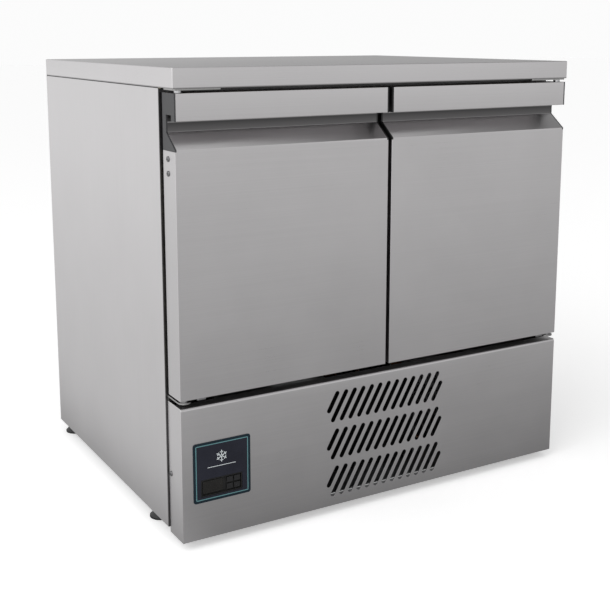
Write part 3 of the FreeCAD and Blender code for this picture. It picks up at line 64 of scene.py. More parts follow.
class Finish:
    """A node material under construction, with one Principled shader."""

    def __init__(self, name, **constants):
        self.material = bpy.data.materials.new(name)
        self.material.use_nodes = True
        self.nodes = self.material.node_tree.nodes
        self.links = self.material.node_tree.links
        self.shader = self.nodes["Principled BSDF"]
        for socket, value in constants.items():
            self.shader.inputs[socket.replace("_", " ")].default_value = value
        self.place = self.nodes.new("ShaderNodeTexCoord").outputs["Object"]

    def stretched(self, scale):
        mapping = self.nodes.new("ShaderNodeMapping")
        mapping.inputs["Scale"].default_value = scale
        self.links.new(self.place, mapping.inputs["Vector"])
        return mapping.outputs["Vector"]

    def noise(self, scale, detail=3.0, rough=0.55, stretch=None):
        texture = self.nodes.new("ShaderNodeTexNoise")
        texture.inputs["Scale"].default_value = scale
        texture.inputs["Detail"].default_value = detail
        texture.inputs["Roughness"].default_value = rough
        place = self.stretched(stretch) if stretch else self.place
        self.links.new(place, texture.inputs["Vector"])
        return texture.outputs["Fac"]

    def spread(self, value, low, high, start=0.3, end=0.7):
        """Maps a noise value onto a range."""
        ranger = self.nodes.new("ShaderNodeMapRange")
        for socket, number in (("From Min", start), ("From Max", end),
                               ("To Min", low), ("To Max", high)):
            ranger.inputs[socket].default_value = number
        self.links.new(value, ranger.inputs["Value"])
        return ranger.outputs["Result"]

    def combine(self, operation, *values):
        """One step of arithmetic on socket values."""
        total = self.nodes.new("ShaderNodeMath")
        total.operation = operation
        for value, socket in zip(values, total.inputs):
            self.links.new(value, socket)
        return total.outputs[0]

    def add(self, first, second):
        return self.combine("ADD", first, second)

    def between(self, value, first, second):
        """A colour that runs from first to second as the value goes from 0 to 1."""
        mix = self.nodes.new("ShaderNodeMix")
        mix.data_type = "RGBA"
        mix.inputs["A"].default_value = (*first, 1.0)
        mix.inputs["B"].default_value = (*second, 1.0)
        self.links.new(value, mix.inputs["Factor"])
        return mix.outputs["Result"]

    def with_painted_shade(self, shade, depths, levels, across=None):
        """Paints shade into a colour: darkens it by a share that follows the height.

        The share sets in from the first depth to the second; levels holds (height, share)
        pairs from the lowest up. across holds two distances from the middle, none to full.
        """
        parts = self.nodes.new("ShaderNodeSeparateXYZ")
        self.links.new(self.place, parts.inputs[0])
        low, high = levels[0][0], levels[-1][0]
        ramp = self.nodes.new("ShaderNodeValToRGB")
        stops = ramp.color_ramp.elements
        while len(stops) < len(levels):
            stops.new(0.5)
        for stop, (level, share) in zip(stops, levels):
            stop.position = (level - low) / (high - low)
            stop.color = (share, share, share, 1.0)
        self.links.new(self.spread(parts.outputs["Z"], 0.0, 1.0, low, high), ramp.inputs["Fac"])
        inward = self.spread(parts.outputs["Y"], 0.0, 1.0, *depths)
        amount = self.combine("MULTIPLY", ramp.outputs["Color"], inward)
        if across:
            reach = self.combine("ABSOLUTE", parts.outputs["X"])
            amount = self.combine("MULTIPLY", amount, self.spread(reach, 0.0, 1.0, *across))
        # Painted shade: the colour is mixed towards near-black by the amount.
        mix = self.nodes.new("ShaderNodeMix")
        mix.data_type = "RGBA"
        mix.inputs["B"].default_value = (0.003, 0.003, 0.003, 1.0)
        self.links.new(amount, mix.inputs["Factor"])
        self.links.new(shade, mix.inputs["A"])
        return mix.outputs["Result"]

    def bump(self, height, distance, strength=1.0, under=None):
        node = self.nodes.new("ShaderNodeBump")
        node.inputs["Distance"].default_value = distance
        node.inputs["Strength"].default_value = strength
        self.links.new(height, node.inputs["Height"])
        if under:
            self.links.new(under, node.inputs["Normal"])
        return node.outputs["Normal"]

    def set(self, socket, output):
        self.links.new(output, self.shader.inputs[socket])


def sheet_metal(name, colour, rough, grain, grain_depth=0.004, wave_depth=0.4, tint=0.05,
                painted_shade=()):
    """Satin sheet: fine drawn grain, faint smears and a slight unevenness of the sheet.

    grain is the stretch of the grain on each axis, small along the drawing direction.
    The last argument gives the places where shade is painted into the colour.
    """
    finish = Finish(name, Metallic=1.0)
    lines = finish.noise(1.0, 4.0, 0.6, grain)
    smears = finish.noise(7.0, 4.0, 0.6)
    darker = tuple(part * (1 - tint) for part in colour)
    lighter = tuple(min(part * (1 + tint), 1.0) for part in colour)
    blend = finish.add(finish.spread(lines, 0.0, 0.6), finish.spread(smears, 0.0, 0.4))
    shade = finish.between(blend, darker, lighter)
    # Painted shade: the colour darkens at each given place.
    for patch in painted_shade:
        shade = finish.with_painted_shade(shade, *patch)
    finish.set("Base Color", shade)
    finish.set("Roughness", finish.add(
        finish.spread(lines, rough - 0.025, rough + 0.025),
        finish.spread(smears, -0.02, 0.03)))
    wave = finish.bump(finish.noise(3.2, 1.0), wave_depth * MM)
    finish.set("Normal", finish.bump(lines, grain_depth * MM, 0.6, wave))
    return finish.material


def moulding(name, colour, rough, pitting=220.0, depth=0.03, spread=0.25, painted_shade=(), **constants):
    """Moulded plastic or rubber with a spark-eroded grain."""
    finish = Finish(name, **constants)
    grain = finish.noise(pitting * 10, 2.0)
    patches = finish.noise(14.0, 4.0)
    darker = tuple(part * (1 - spread) for part in colour)
    lighter = tuple(min(part * (1 + spread), 1.0) for part in colour)
    shade = finish.between(finish.spread(patches, 0.0, 1.0), darker, lighter)
    # Painted shade: the colour darkens at each given place.
    for patch in painted_shade:
        shade = finish.with_painted_shade(shade, *patch)
    finish.set("Base Color", shade)
    finish.set("Roughness", finish.add(
        finish.spread(patches, rough - 0.04, rough + 0.04),
        finish.spread(grain, -0.03, 0.03)))
    finish.set("Normal", finish.bump(grain, depth * MM, 0.5))
    return finish.material


def foam_finish(name, colour):
    """Cut polyurethane foam: small open cells and a mottled skin."""
    finish = Finish(name)
    cells = finish.nodes.new("ShaderNodeTexVoronoi")
    cells.inputs["Scale"].default_value = 900.0
    finish.links.new(finish.place, cells.inputs["Vector"])
    mottle = finish.noise(25.0, 5.0)
    darker = tuple(part * 0.8 for part in colour)
    finish.set("Base Color", finish.between(finish.spread(mottle, 0.0, 1.0), darker, colour))
    finish.set("Roughness", finish.spread(mottle, 0.8, 0.95))
    finish.set("Normal", finish.bump(cells.outputs["Distance"], 0.2 * MM, 0.6))
    return finish.material


def board_finish(name):
    """Pressed board: short flakes in two browns."""
    finish = Finish(name)
    flakes = finish.noise(60.0, 6.0, 0.7, (1.0, 3.0, 6.0))
    finish.set("Base Color", finish.between(
        finish.spread(flakes, 0.0, 1.0), (0.06, 0.045, 0.03), (0.11, 0.085, 0.06)))
    finish.set("Roughness", finish.spread(flakes, 0.7, 0.9))
    finish.set("Normal", finish.bump(flakes, 0.1 * MM, 0.5))
    return finish.material


ACROSS = (2.0, 900.0, 900.0)
UPRIGHT = (900.0, 900.0, 2.0)

STEEL = (0.60, 0.588, 0.594)
# Where shade is painted into a finish: depths, (height, share) pairs and distances from the middle.
ALL_DEPTHS = (-400 * MM, -399 * MM)
# Painted shade on the walls of the vent slots.
SLOT_WALL_SHADE = ((-348.95 * MM, -348.7 * MM),
              ((30 * MM, 0.0), (33 * MM, 0.92), (250 * MM, 0.92), (253 * MM, 0.0)),
              (151 * MM, 150 * MM))
# Painted shade in the handle recess under the door's top lip.
RECESS_SHADE = ((-348.8 * MM, -348.0 * MM),
          ((723 * MM, 0.08), (749.5 * MM, 0.0), (751.5 * MM, 0.76),
           (766 * MM, 0.88), (768.5 * MM, 0.0), (800 * MM, 0.0)))
# Painted shade on the notch wall behind the handle lip, at the door's outer end.
NOTCH_SHADE = ((-336 * MM, -335.2 * MM),
         ((767 * MM, 0.0), (769 * MM, 0.9), (781.5 * MM, 0.9), (783 * MM, 0.0)),
         (423 * MM, 427 * MM))
# Painted shade along the bottom edge of the worktop.
HEM_SHADE = (ALL_DEPTHS, ((824 * MM, 0.55), (826.2 * MM, 0.55), (827.4 * MM, 0.0), (860 * MM, 0.0)))
# Painted shade on the front flanges behind the doors.
FLANGE_SHADE = ((-288.4 * MM, -288.9 * MM), ((0.0, 0.8), (900 * MM, 0.8)))
# Painted shade on the end caps where the two doors meet.
MEETING_END_SHADE = (ALL_DEPTHS, ((0.0, 0.97), (900 * MM, 0.97)), (22 * MM, 21 * MM))

# The front, door, worktop, side and surround steels carry painted shade at the places above.
front_steel = sheet_metal("Satin front steel", STEEL, 0.31, ACROSS, painted_shade=(SLOT_WALL_SHADE,))
door_steel = sheet_metal("Satin door steel", STEEL, 0.31, ACROSS, painted_shade=(RECESS_SHADE, NOTCH_SHADE))
top_steel = sheet_metal("Satin worktop steel", STEEL, 0.30, ACROSS, painted_shade=(HEM_SHADE,))
side_steel = sheet_metal("Satin side steel", STEEL, 0.33, UPRIGHT, painted_shade=(FLANGE_SHADE,))
inner_steel = sheet_metal("Inner steel", STEEL, 0.28, ACROSS)
surround_steel = sheet_metal("Surround steel", STEEL, 0.34, ACROSS, painted_shade=(FLANGE_SHADE,))
plate_steel = sheet_metal("Hinge plate steel", (0.36, 0.357, 0.355), 0.32, ACROSS)
zinc_sheet = sheet_metal("Galvanised sheet", (0.52, 0.53, 0.54), 0.42, (14.0, 14.0, 14.0),
                         wave_depth=0.2, tint=0.18)
liner_sheet = sheet_metal("Liner aluminium", (0.74, 0.75, 0.76), 0.36, ACROSS)
pin_steel = sheet_metal("Turned pin steel", (0.55, 0.55, 0.56), 0.3, (700.0, 700.0, 2000.0))
screw_steel = sheet_metal("Screw steel", (0.19, 0.19, 0.195), 0.24, (300.0, 300.0, 300.0),
                          wave_depth=0.02)
fin_aluminium = sheet_metal("Fin aluminium", (0.72, 0.73, 0.74), 0.38, UPRIGHT)
lug_steel = sheet_metal("Dark lug steel", (0.26, 0.26, 0.265), 0.36, (300.0, 300.0, 300.0))
copper = sheet_metal("Drawn copper", (0.50, 0.25, 0.15), 0.34, (120.0, 120.0, 120.0), tint=0.12)
black_plastic = moulding("Black plastic", (0.022, 0.022, 0.024), 0.42)
# The cap plastic carries painted shade where the doors meet.
grey_plastic = moulding("Grey cap plastic", (0.034, 0.034, 0.0365), 0.5, painted_shade=(MEETING_END_SHADE,))
foot_plastic = moulding("Foot plastic", (0.016, 0.016, 0.017), 0.4)
gasket_rubber = moulding("Gasket rubber", (0.012, 0.012, 0.013), 0.7, Specular_IOR_Level=0.2)
key_plastic = moulding("Key plastic", (0.012, 0.012, 0.013), 0.45, Specular_IOR_Level=0.3)
housing_plastic = moulding("Housing plastic", (0.008, 0.008, 0.008), 0.5, Specular_IOR_Level=0.3)
# The black coat on the condenser coil and shroud is partly a real coating and partly painted shade,
# kept black so the slots in front look dark.
coil_paint = moulding("Coil paint", (0.012, 0.012, 0.013), 0.5, pitting=80.0,
                      Specular_IOR_Level=0.3)
fascia_print = moulding("Fascia print", (0.010, 0.011, 0.020), 0.38, depth=0.01,
                        Specular_IOR_Level=0.3)
fascia_rim = moulding("Fascia rim print", (0.003, 0.014, 0.022), 0.38, depth=0.01,
                      Specular_IOR_Level=0.25)
fascia_line = moulding("Fascia line print", (0.085, 0.195, 0.21), 0.38, depth=0.01, spread=0.08,
                       Specular_IOR_Level=0.3)
fascia_mark = moulding("Fascia mark print", (0.62, 0.66, 0.68), 0.35, depth=0.01, spread=0.05)
display_glass = moulding("Display glass", (0.010, 0.0095, 0.0085), 0.2, depth=0.004,
                         Specular_IOR_Level=0.35)
enamel = moulding("Black enamel", (0.018, 0.018, 0.019), 0.24, pitting=60.0, depth=0.05,
                  Coat_Weight=0.4, Coat_Roughness=0.15)
coated_wire = moulding("Coated wire", (0.74, 0.75, 0.75), 0.28, spread=0.05, Coat_Weight=0.5)
foam = foam_finish("Foam", (0.85, 0.78, 0.55))
board = board_finish("Pressed board")


# ---------------------------------------------------------------- making pieces

def placed(name, mesh, finish, body, replaced=(), angle=SHARP):
    """Puts a finished mesh in the scene as a piece that rides on a body."""
    if finish:
        mesh.materials.clear()
        mesh.materials.append(finish)
    if angle:
        mesh.shade_smooth()
        mesh.set_sharp_from_angle(angle=angle)
    piece = bpy.data.objects.new(name, mesh)
    bpy.context.scene.collection.objects.link(piece)
    if replaced:
        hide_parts(*replaced)
    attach(piece, body)
    return piece


def evaluated_mesh(piece, name):
    """The piece with its modifiers worked in, as a plain mesh; the piece itself goes."""
    graph = bpy.context.evaluated_depsgraph_get()
    mesh = bpy.data.meshes.new_from_object(piece.evaluated_get(graph), depsgraph=graph)
    mesh.name = name
    old = piece.data
    bpy.data.objects.remove(piece)
    bpy.data.meshes.remove(old)
    return mesh


def mesh_from(name, shape):
    """Turns a bmesh into a mesh with its faces outwards."""
    bmesh.ops.remove_doubles(shape, verts=shape.verts, dist=1e-7)
    bmesh.ops.recalc_face_normals(shape, faces=shape.faces)
    mesh = bpy.data.meshes.new(name)
    shape.to_mesh(mesh)
    shape.free()
    return mesh


def eased(name, mesh, width, segments=2, angle=SHARP):
    """Rounds the sharp edges of a mesh by a small width."""
    piece = bpy.data.objects.new(name, mesh)
    bpy.context.scene.collection.objects.link(piece)
    bevel = piece.modifiers.new("eased edges", "BEVEL")
    bevel.width = width * MM
    bevel.segments = segments
    bevel.limit_method = "ANGLE"
    bevel.angle_limit = angle
    bevel.use_clamp_overlap = False
    bevel.harden_normals = True
    return evaluated_mesh(piece, name)


def sheet_piece(node, finish, width=0.3, segments=2, seam=0.0):
    """A folded or moulded part: the frame's shape with its edges eased.

    seam leaves that much of the sheet's top edge off, for a line of sealant.
    """
    shape = bmesh.new()
    shape.from_mesh(cad_nodes[node].data)
    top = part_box(node)[1].z
    for vert in shape.verts:
        if vert.co.z > top - 0.1 * MM:
            vert.co.z -= seam
    bmesh.ops.remove_doubles(shape, verts=shape.verts, dist=2e-6)
    bmesh.ops.dissolve_limit(shape, angle_limit=math.radians(0.6),
                             verts=shape.verts, edges=shape.edges)
    mesh = bpy.data.meshes.new(node)
    shape.to_mesh(mesh)
    shape.free()
    mesh.shade_smooth()
    mesh.set_sharp_from_angle(angle=SHARP)
    if width:
        mesh = eased(f"{node}_piece", mesh, width, segments)
    return placed(f"{node}_piece", mesh, finish, body_of_node[node], (node,),
                  None if width else SHARP)


def corner_fan(x_span, z_span, radius, steps=6):
    """Where each point round a round-cornered rectangle is struck from, and its direction."""
    (left, right), (low, high) = x_span, z_span
    fan = []
    for side, rise, first in ((1, 1, 0), (-1, 1, 90), (-1, -1, 180), (1, -1, 270)):
        centre = ((right if side > 0 else left) - side * radius,
                  (high if rise > 0 else low) - rise * radius)
        for step in range(steps + 1):
            turn = math.radians(first + 90 * step / steps)
            fan.append((centre, (math.cos(turn), math.sin(turn)), (side, rise)))
    return fan


def inset_point(struck, radius, inset):
    """A point of the rectangle drawn in by inset; past the radius its corners are square."""
    centre, direction, corner = struck
    if inset <= radius:
        return tuple(c + (radius - inset) * d for c, d in zip(centre, direction))
    return tuple(c - (inset - radius) * s for c, s in zip(centre, corner))


def rounded_loop(x_span, z_span, radius, steps=6):
    """Points round a rectangle with rounded corners."""
    fan = corner_fan(x_span, z_span, radius, steps)
    return [inset_point(struck, radius, 0.0) for struck in fan]


def swept_frame(name, x_span, z_span, radius, section, steps=6):
    """Sweeps a closed section round a rectangle. The section is (inset, y) pairs."""
    shape = bmesh.new()
    rings = []
    for struck in corner_fan(x_span, z_span, radius, steps):
        ring = []
        for inset, y in section:
            x, z = inset_point(struck, radius, inset)
            ring.append(shape.verts.new((x, y, z)))
        rings.append(ring)
    for ring, following in zip(rings, rings[1:] + rings[:1]):
        for index in range(len(section)):
            after = (index + 1) % len(section)
            shape.faces.new((ring[index], ring[after], following[after], following[index]))
    return mesh_from(name, shape)


def flat_plate(name, loop, y_front, y_back, hole=None):
    """A plate with a curved outline and, if given, one opening, from y_front to y_back."""
    shape = bmesh.new()
    outlines = [loop] + ([hole] if hole else [])
    for y in (y_front, y_back):
        edges = []
        for outline in outlines:
            corners = [shape.verts.new((point[0], y, point[1])) for point in outline]
            edges += [shape.edges.new(pair) for pair in zip(corners, corners[1:] + corners[:1])]
        bmesh.ops.triangle_fill(shape, edges=edges, use_beauty=True, use_dissolve=True)
    shape.verts.ensure_lookup_table()
    count = sum(len(outline) for outline in outlines)
    start = 0
    for outline in outlines:
        size = len(outline)
        for index in range(size):
            one, two = start + index, start + (index + 1) % size
            shape.faces.new([shape.verts[i] for i in (one, two, count + two, count + one)])
        start += size
    return mesh_from(name, shape)


def turned(name, centre, profile, steps=48):
    """Turns (radius, z) pairs about an upright axis; the ends are closed."""
    shape = bmesh.new()
    rings = []
    for radius, z in profile:
        rings.append([shape.verts.new((
            centre[0] + radius * math.cos(math.tau * step / steps),
            centre[1] + radius * math.sin(math.tau * step / steps), z)) for step in range(steps)])
    for ring, following in zip(rings, rings[1:]):
        for index in range(steps):
            after = (index + 1) % steps
            shape.faces.new((ring[index], ring[after], following[after], following[index]))
    shape.faces.new(rings[0])
    shape.faces.new(rings[-1])
    return mesh_from(name, shape)


def joined(name, meshes):
    """One mesh from several, with their materials kept."""
    shape = bmesh.new()
    finishes = []
    for mesh in meshes:
        start = len(shape.faces)
        shape.from_mesh(mesh)
        shape.faces.ensure_lookup_table()
        for face in list(shape.faces)[start:]:
            material = mesh.materials[face.material_index]
            if material not in finishes:
                finishes.append(material)
            face.material_index = finishes.index(material)
        bpy.data.meshes.remove(mesh)
    result = bpy.data.meshes.new(name)
    shape.to_mesh(result)
    shape.free()
    for material in finishes:
        result.materials.append(material)
    return result


# ---------------------------------------------------------------- geometry node trees

class Tree:
    """A geometry node tree with named inputs."""

    def __init__(self, name, inputs):
        self.tree = bpy.data.node_groups.new(name, "GeometryNodeTree")
        face = self.tree.interface
        face.new_socket("Geometry", in_out="INPUT", socket_type="NodeSocketGeometry")
        for socket, kind in inputs.items():
            face.new_socket(socket, in_out="INPUT", socket_type=f"NodeSocket{kind}")
        face.new_socket("Finish", in_out="INPUT", socket_type="NodeSocketMaterial")
        face.new_socket("Geometry", in_out="OUTPUT", socket_type="NodeSocketGeometry")
        self.input = self.tree.nodes.new("NodeGroupInput").outputs

    def node(self, kind, settings=None, **links):
        """Adds a node; each link is a socket to join or a value to set."""
        node = self.tree.nodes.new(kind)
        for setting, value in (settings or {}).items():
            setattr(node, setting, value)
        for name, value in links.items():
            key = int(name[1:]) if name[0] == "i" and name[1:].isdigit() else name.replace("_", " ")
            if isinstance(value, bpy.types.NodeSocket):
                self.tree.links.new(value, node.inputs[key])
            else:
                node.inputs[key].default_value = value
        return node.outputs[0]

    def math(self, operation, first, second):
        return self.node("ShaderNodeMath", {"operation": operation}, i0=first, i1=second)

    def vector(self, x=0.0, y=0.0, z=0.0):
        return self.node("ShaderNodeCombineXYZ", X=x, Y=y, Z=z)

    def moved(self, geometry, **links):
        return self.node("GeometryNodeTransform", Geometry=geometry, **links)

    def cut(self, geometry, *tools):
        boolean = self.tree.nodes.new("GeometryNodeMeshBoolean")
        boolean.operation = "DIFFERENCE"
        boolean.solver = "EXACT"
        self.tree.links.new(geometry, boolean.inputs["Mesh 1"])
        for tool in tools:
            self.tree.links.new(tool, boolean.inputs["Mesh 2"])
        return boolean.outputs["Mesh"]

    def finish(self, geometry):
        """Ends the tree: real geometry, with its finish."""
        real = self.node("GeometryNodeRealizeInstances", Geometry=geometry)
        painted = self.node("GeometryNodeSetMaterial", Geometry=real, Material=self.input["Finish"])
        output = self.tree.nodes.new("NodeGroupOutput")
        self.tree.links.new(painted, output.inputs["Geometry"])

    def grow(self, name, seed_mesh, finish, **values):
        """Runs the tree on a starting mesh and returns a plain mesh."""
        piece = bpy.data.objects.new(name, seed_mesh)
        bpy.context.scene.collection.objects.link(piece)
        modifier = piece.modifiers.new(name, "NODES")
        modifier.node_group = self.tree
        for item in self.tree.interface.items_tree:
            if item.item_type == "SOCKET" and item.in_out == "INPUT" and item.name != "Geometry":
                value = finish if item.name == "Finish" else values[item.name.replace(" ", "_")]
                modifier[item.identifier] = value
        return evaluated_mesh(piece, name)


def path_mesh(name, paths):
    """Edges through points; each path is (points, closed)."""
    points, edges = [], []
    for path, closed in paths:
        start = len(points)
        points += path
        edges += [(start + i, start + i + 1) for i in range(len(path) - 1)]
        if closed:
            edges.append((start + len(path) - 1, start))
    mesh = bpy.data.meshes.new(name)
    mesh.from_pydata(points, edges, [])
    return mesh


def spots(name, points):
    """Loose points, each the place of one repeated shape."""
    mesh = bpy.data.meshes.new(name)
    mesh.from_pydata(points, [], [])
    return mesh


def rod_tree():
    """A round rod along every edge path of the starting mesh."""
    tree = Tree("Rod along a path", {"Radius": "Float", "Facets": "Int"})
    path = tree.node("GeometryNodeMeshToCurve", Mesh=tree.input["Geometry"])
    section = tree.node("GeometryNodeCurvePrimitiveCircle", Radius=tree.input["Radius"],
                        Resolution=tree.input["Facets"])
    rod = tree.node("GeometryNodeCurveToMesh", Curve=path, Profile_Curve=section, Fill_Caps=True)
    tree.finish(rod)
    return tree


def screw_tree():
    """A pan-head screw with a cross recess and a washer face at every point."""
    tree = Tree("Pan head screws", {
        "Head radius": "Float", "Head height": "Float", "Recess width": "Float",
        "Recess depth": "Float", "Turn": "Vector"})
    radius, height = tree.input["Head radius"], tree.input["Head height"]
    rim_height = tree.math("MULTIPLY", height, 0.45)
    rim = tree.moved(
        tree.node("GeometryNodeMeshCylinder", Vertices=32, Radius=radius, Depth=rim_height),
        Translation=tree.vector(z=tree.math("MULTIPLY", rim_height, 0.5)))
    dome = tree.moved(
        tree.node("GeometryNodeMeshUVSphere", Segments=32, Rings=14, Radius=1.0),
        Scale=tree.vector(tree.math("MULTIPLY", radius, 0.96), tree.math("MULTIPLY", radius, 0.96),
                          tree.math("MULTIPLY", height, 0.56)),
        Translation=tree.vector(z=tree.math("MULTIPLY", height, 0.43)))
    long_side, short_side = tree.math("MULTIPLY", radius, 1.1), tree.input["Recess width"]
    depth = tree.math("MULTIPLY", tree.input["Recess depth"], 2.0)
    bars = [
        tree.moved(tree.node("GeometryNodeMeshCube", Size=tree.vector(x, y, depth)),
                   Translation=tree.vector(z=height))
        for x, y in ((long_side, short_side), (short_side, long_side))]
    boolean = tree.tree.nodes.new("GeometryNodeMeshBoolean")
    boolean.operation = "UNION"
    boolean.solver = "EXACT"
    for part in (rim, dome):
        tree.tree.links.new(part, boolean.inputs["Mesh 2"])
    head = tree.cut(boolean.outputs["Mesh"], *bars)
    placed_heads = tree.node("GeometryNodeInstanceOnPoints", Points=tree.input["Geometry"],
                             Instance=head, Rotation=tree.input["Turn"])
    tree.finish(placed_heads)
    return tree


def stack_tree():
    """Thin blocks repeated at an even pitch from every point."""
    tree = Tree("Stack of plates", {
        "Count": "Int", "Step": "Vector", "Plate size": "Vector", "Lean": "Vector"})
    row = tree.node("GeometryNodeMeshLine", {"mode": "OFFSET"}, Count=tree.input["Count"],
                    Offset=tree.input["Step"])
    plate = tree.node("GeometryNodeMeshCube", Size=tree.input["Plate size"])
    plates = tree.node("GeometryNodeInstanceOnPoints", Points=row, Instance=plate,
                       Rotation=tree.input["Lean"])
    stacks = tree.node("GeometryNodeInstanceOnPoints", Points=tree.input["Geometry"],
                       Instance=plates)
    tree.finish(stacks)
    return tree


def rib_tree():
    """Ribs standing round a disc at every point."""
    tree = Tree("Ribs round a pad", {
        "Count": "Int", "Ring radius": "Float", "Rib size": "Vector", "Lean": "Float"})
    ring = tree.node("GeometryNodeMeshCircle", Vertices=tree.input["Count"],
                     Radius=tree.input["Ring radius"])
    place = tree.node("GeometryNodeInputPosition")
    parts = tree.tree.nodes.new("ShaderNodeSeparateXYZ")
    tree.tree.links.new(place, parts.inputs[0])
    turn = tree.math("ARCTAN2", parts.outputs["Y"], parts.outputs["X"])
    rib = tree.node("GeometryNodeMeshCube", Size=tree.input["Rib size"])
    leant = tree.moved(rib, Rotation=tree.vector(y=tree.input["Lean"]))
    ribs = tree.node("GeometryNodeInstanceOnPoints", Points=ring, Instance=leant,
                     Rotation=tree.vector(z=turn))
    pads = tree.node("GeometryNodeInstanceOnPoints", Points=tree.input["Geometry"], Instance=ribs)
    tree.finish(pads)
    return tree


rods = rod_tree()
screws = screw_tree()
stacks = stack_tree()
ribs = rib_tree()


# ---------------------------------------------------------------- cabinet and doors

def show_sheets():
    """Folded sheets, cast plates and mouldings that keep the frame's shape."""
    plans = (
        (top_steel, "satin_steel", 0.3, ("worktop",)),
        (side_steel, "satin_steel", 0.3, ("left_side_panel", "right_side_panel")),
        (side_steel, "satin_steel", 0.2, ("back_panel",)),
        (surround_steel, "satin_steel", 0.2, ("door_surround", "centre_mullion")),
        (inner_steel, "satin_steel", 0.2, ("shelf_rails", "evaporator_cover")),
        (plate_steel, "satin_steel", 0.35, ("top_hinge_plates", "bottom_hinge_plates")),
        (liner_sheet, "liner_aluminium", 0.25, ("cabinet_liner", "left_door_liner",
                                                "right_door_liner")),
        (zinc_sheet, "zinc_sheet", 0.2, ("compartment_ceiling", "base_tray")),
        (coil_paint, "zinc_sheet", 0.2, ("condenser_shroud",)),
        (pin_steel, "pin_steel", 0.25, ("hinge_pins", "left_door_bushes", "right_door_bushes")),
        (lug_steel, "pin_steel", 0.6, ("left_door_closer_lug", "right_door_closer_lug")),
        (front_steel, "satin_steel", 0.3, ("front_panel",)),
        (door_steel, "satin_steel", 0.25, ("left_door_skin", "right_door_skin")),
        (grey_plastic, "grey_plastic", 0.3, ("left_door_end_caps", "right_door_end_caps")),
        (housing_plastic, "black_plastic", 0.3, ("controller_housing",)),
        (black_plastic, "black_plastic", 0.3, ("mains_inlet", "condensate_tray")),
        (black_plastic, "black_plastic", 0.0, ("condenser_fan", "evaporator_fan")),
        (key_plastic, "black_plastic", 0.3, (
            "lower_inner_key", "upper_inner_key", "lower_outer_key", "upper_outer_key")),
        (enamel, "black_enamel", 0.6, ("compressor",)),
        (enamel, "black_enamel", 0.4, ("condenser_fan_motor", "evaporator_fan_motor")),
        (copper, "copper", 0.0, ("refrigerant_lines", "condenser_tube")),
        (copper, "copper", 0.8, ("filter_drier",)),
    )
    for finish, slot, ease, names in plans:
        for name in names:
            seam = 1.2 * MM if finish is side_steel else 0.0
            sheet_piece(name, finish, ease, seam=seam)


def keep_cores():
    """The foam and the board under the skins stay as they are, with their own finish."""
    for name in ("cabinet_insulation", "left_door_insulation", "right_door_insulation"):
        cad_nodes[name].material_slots[0].material = foam
    cad_nodes["worktop_core"].material_slots[0].material = board


def show_seam_seal():
    """Bead of black sealant between the worktop and the side and back panels."""
    low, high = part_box("left_side_panel")
    across = -low.x - 1.1 * MM
    back = high.y - 1.1 * MM
    z = high.z - 0.7 * MM
    path = [(-across, low.y + 2 * MM, z), (-across, back, z), (across, back, z),
            (across, low.y + 2 * MM, z)]
    mesh = rods.grow("worktop_sealant", path_mesh("sealant line", [(path, False)]), gasket_rubber,
                     Radius=0.75 * MM, Facets=12)
    placed("worktop_sealant", mesh, gasket_rubber, body_of_node["worktop"])


def show_gasket(door):
    """Hollow bellows gasket, seen as its outer shape, swept round the door."""
    node = f"{door}_gasket"
    low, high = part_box(node)
    depth = high.y - low.y
    shape = ((1.0, 0.0), (17.0, 0.0), (17.0, 0.14), (12.6, 0.2), (12.2, 0.34), (14.6, 0.46),
             (17.2, 0.55), (18.0, 0.68), (17.6, 0.92), (16.6, 1.0), (2.0, 1.0), (0.6, 0.92),
             (0.0, 0.76), (0.5, 0.6), (3.0, 0.48), (5.6, 0.36), (5.8, 0.22), (1.0, 0.15))
    section = [(inset * MM, low.y + share * depth) for inset, share in shape]
    mesh = swept_frame(f"{node}_piece", (low.x, high.x), (low.z, high.z), 3.0 * MM, section)
    placed(f"{node}_piece", mesh, gasket_rubber, door, (node,))


def show_screws(node, body, side, heights):
    """Pan-head screws in a side face, with their shanks."""
    low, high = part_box(node)
    head_height, head_radius = 2.4 * MM, 5.0 * MM
    centre_y = (low.y + high.y) / 2
    groups = []
    for hand in ((side,) if side else (-1, 1)):
        face = (high.x if hand > 0 else low.x) - hand * head_height
        points = [(face, centre_y, height) for height in heights(low, high)]
        groups.append(screws.grow(
            f"{node}_heads", spots("head places", points), screw_steel,
            Head_radius=head_radius, Head_height=head_height, Recess_width=1.2 * MM,
            Recess_depth=1.5 * MM, Turn=(0.0, hand * math.pi / 2, 0.0)))
        shanks = [([point, (point[0] - hand * 8.9 * MM, *point[1:])], False) for point in points]
        groups.append(rods.grow(f"{node}_shanks", path_mesh("shank lines", shanks), screw_steel,
                                Radius=2.0 * MM, Facets=14))
    placed(f"{node}_piece", joined(f"{node}_piece", groups), None, body, (node,))


# ---------------------------------------------------------------- vented panel and controls

def slot_outline(middle, half_run, half_rise, radius, y, steps=8):
    """Points round one slanted slot with round ends."""
    lean = math.atan2(half_rise, half_run)
    points = []
    for end in (1, -1):
        centre = (middle[0] + end * half_run, middle[1] + end * half_rise)
        first = lean - math.pi / 2 if end > 0 else lean + math.pi / 2
        for step in range(steps + 1):
            turn = first + math.pi * step / steps
            points.append((centre[0] + radius * math.cos(turn), y,
                           centre[1] + radius * math.sin(turn)))
    return points


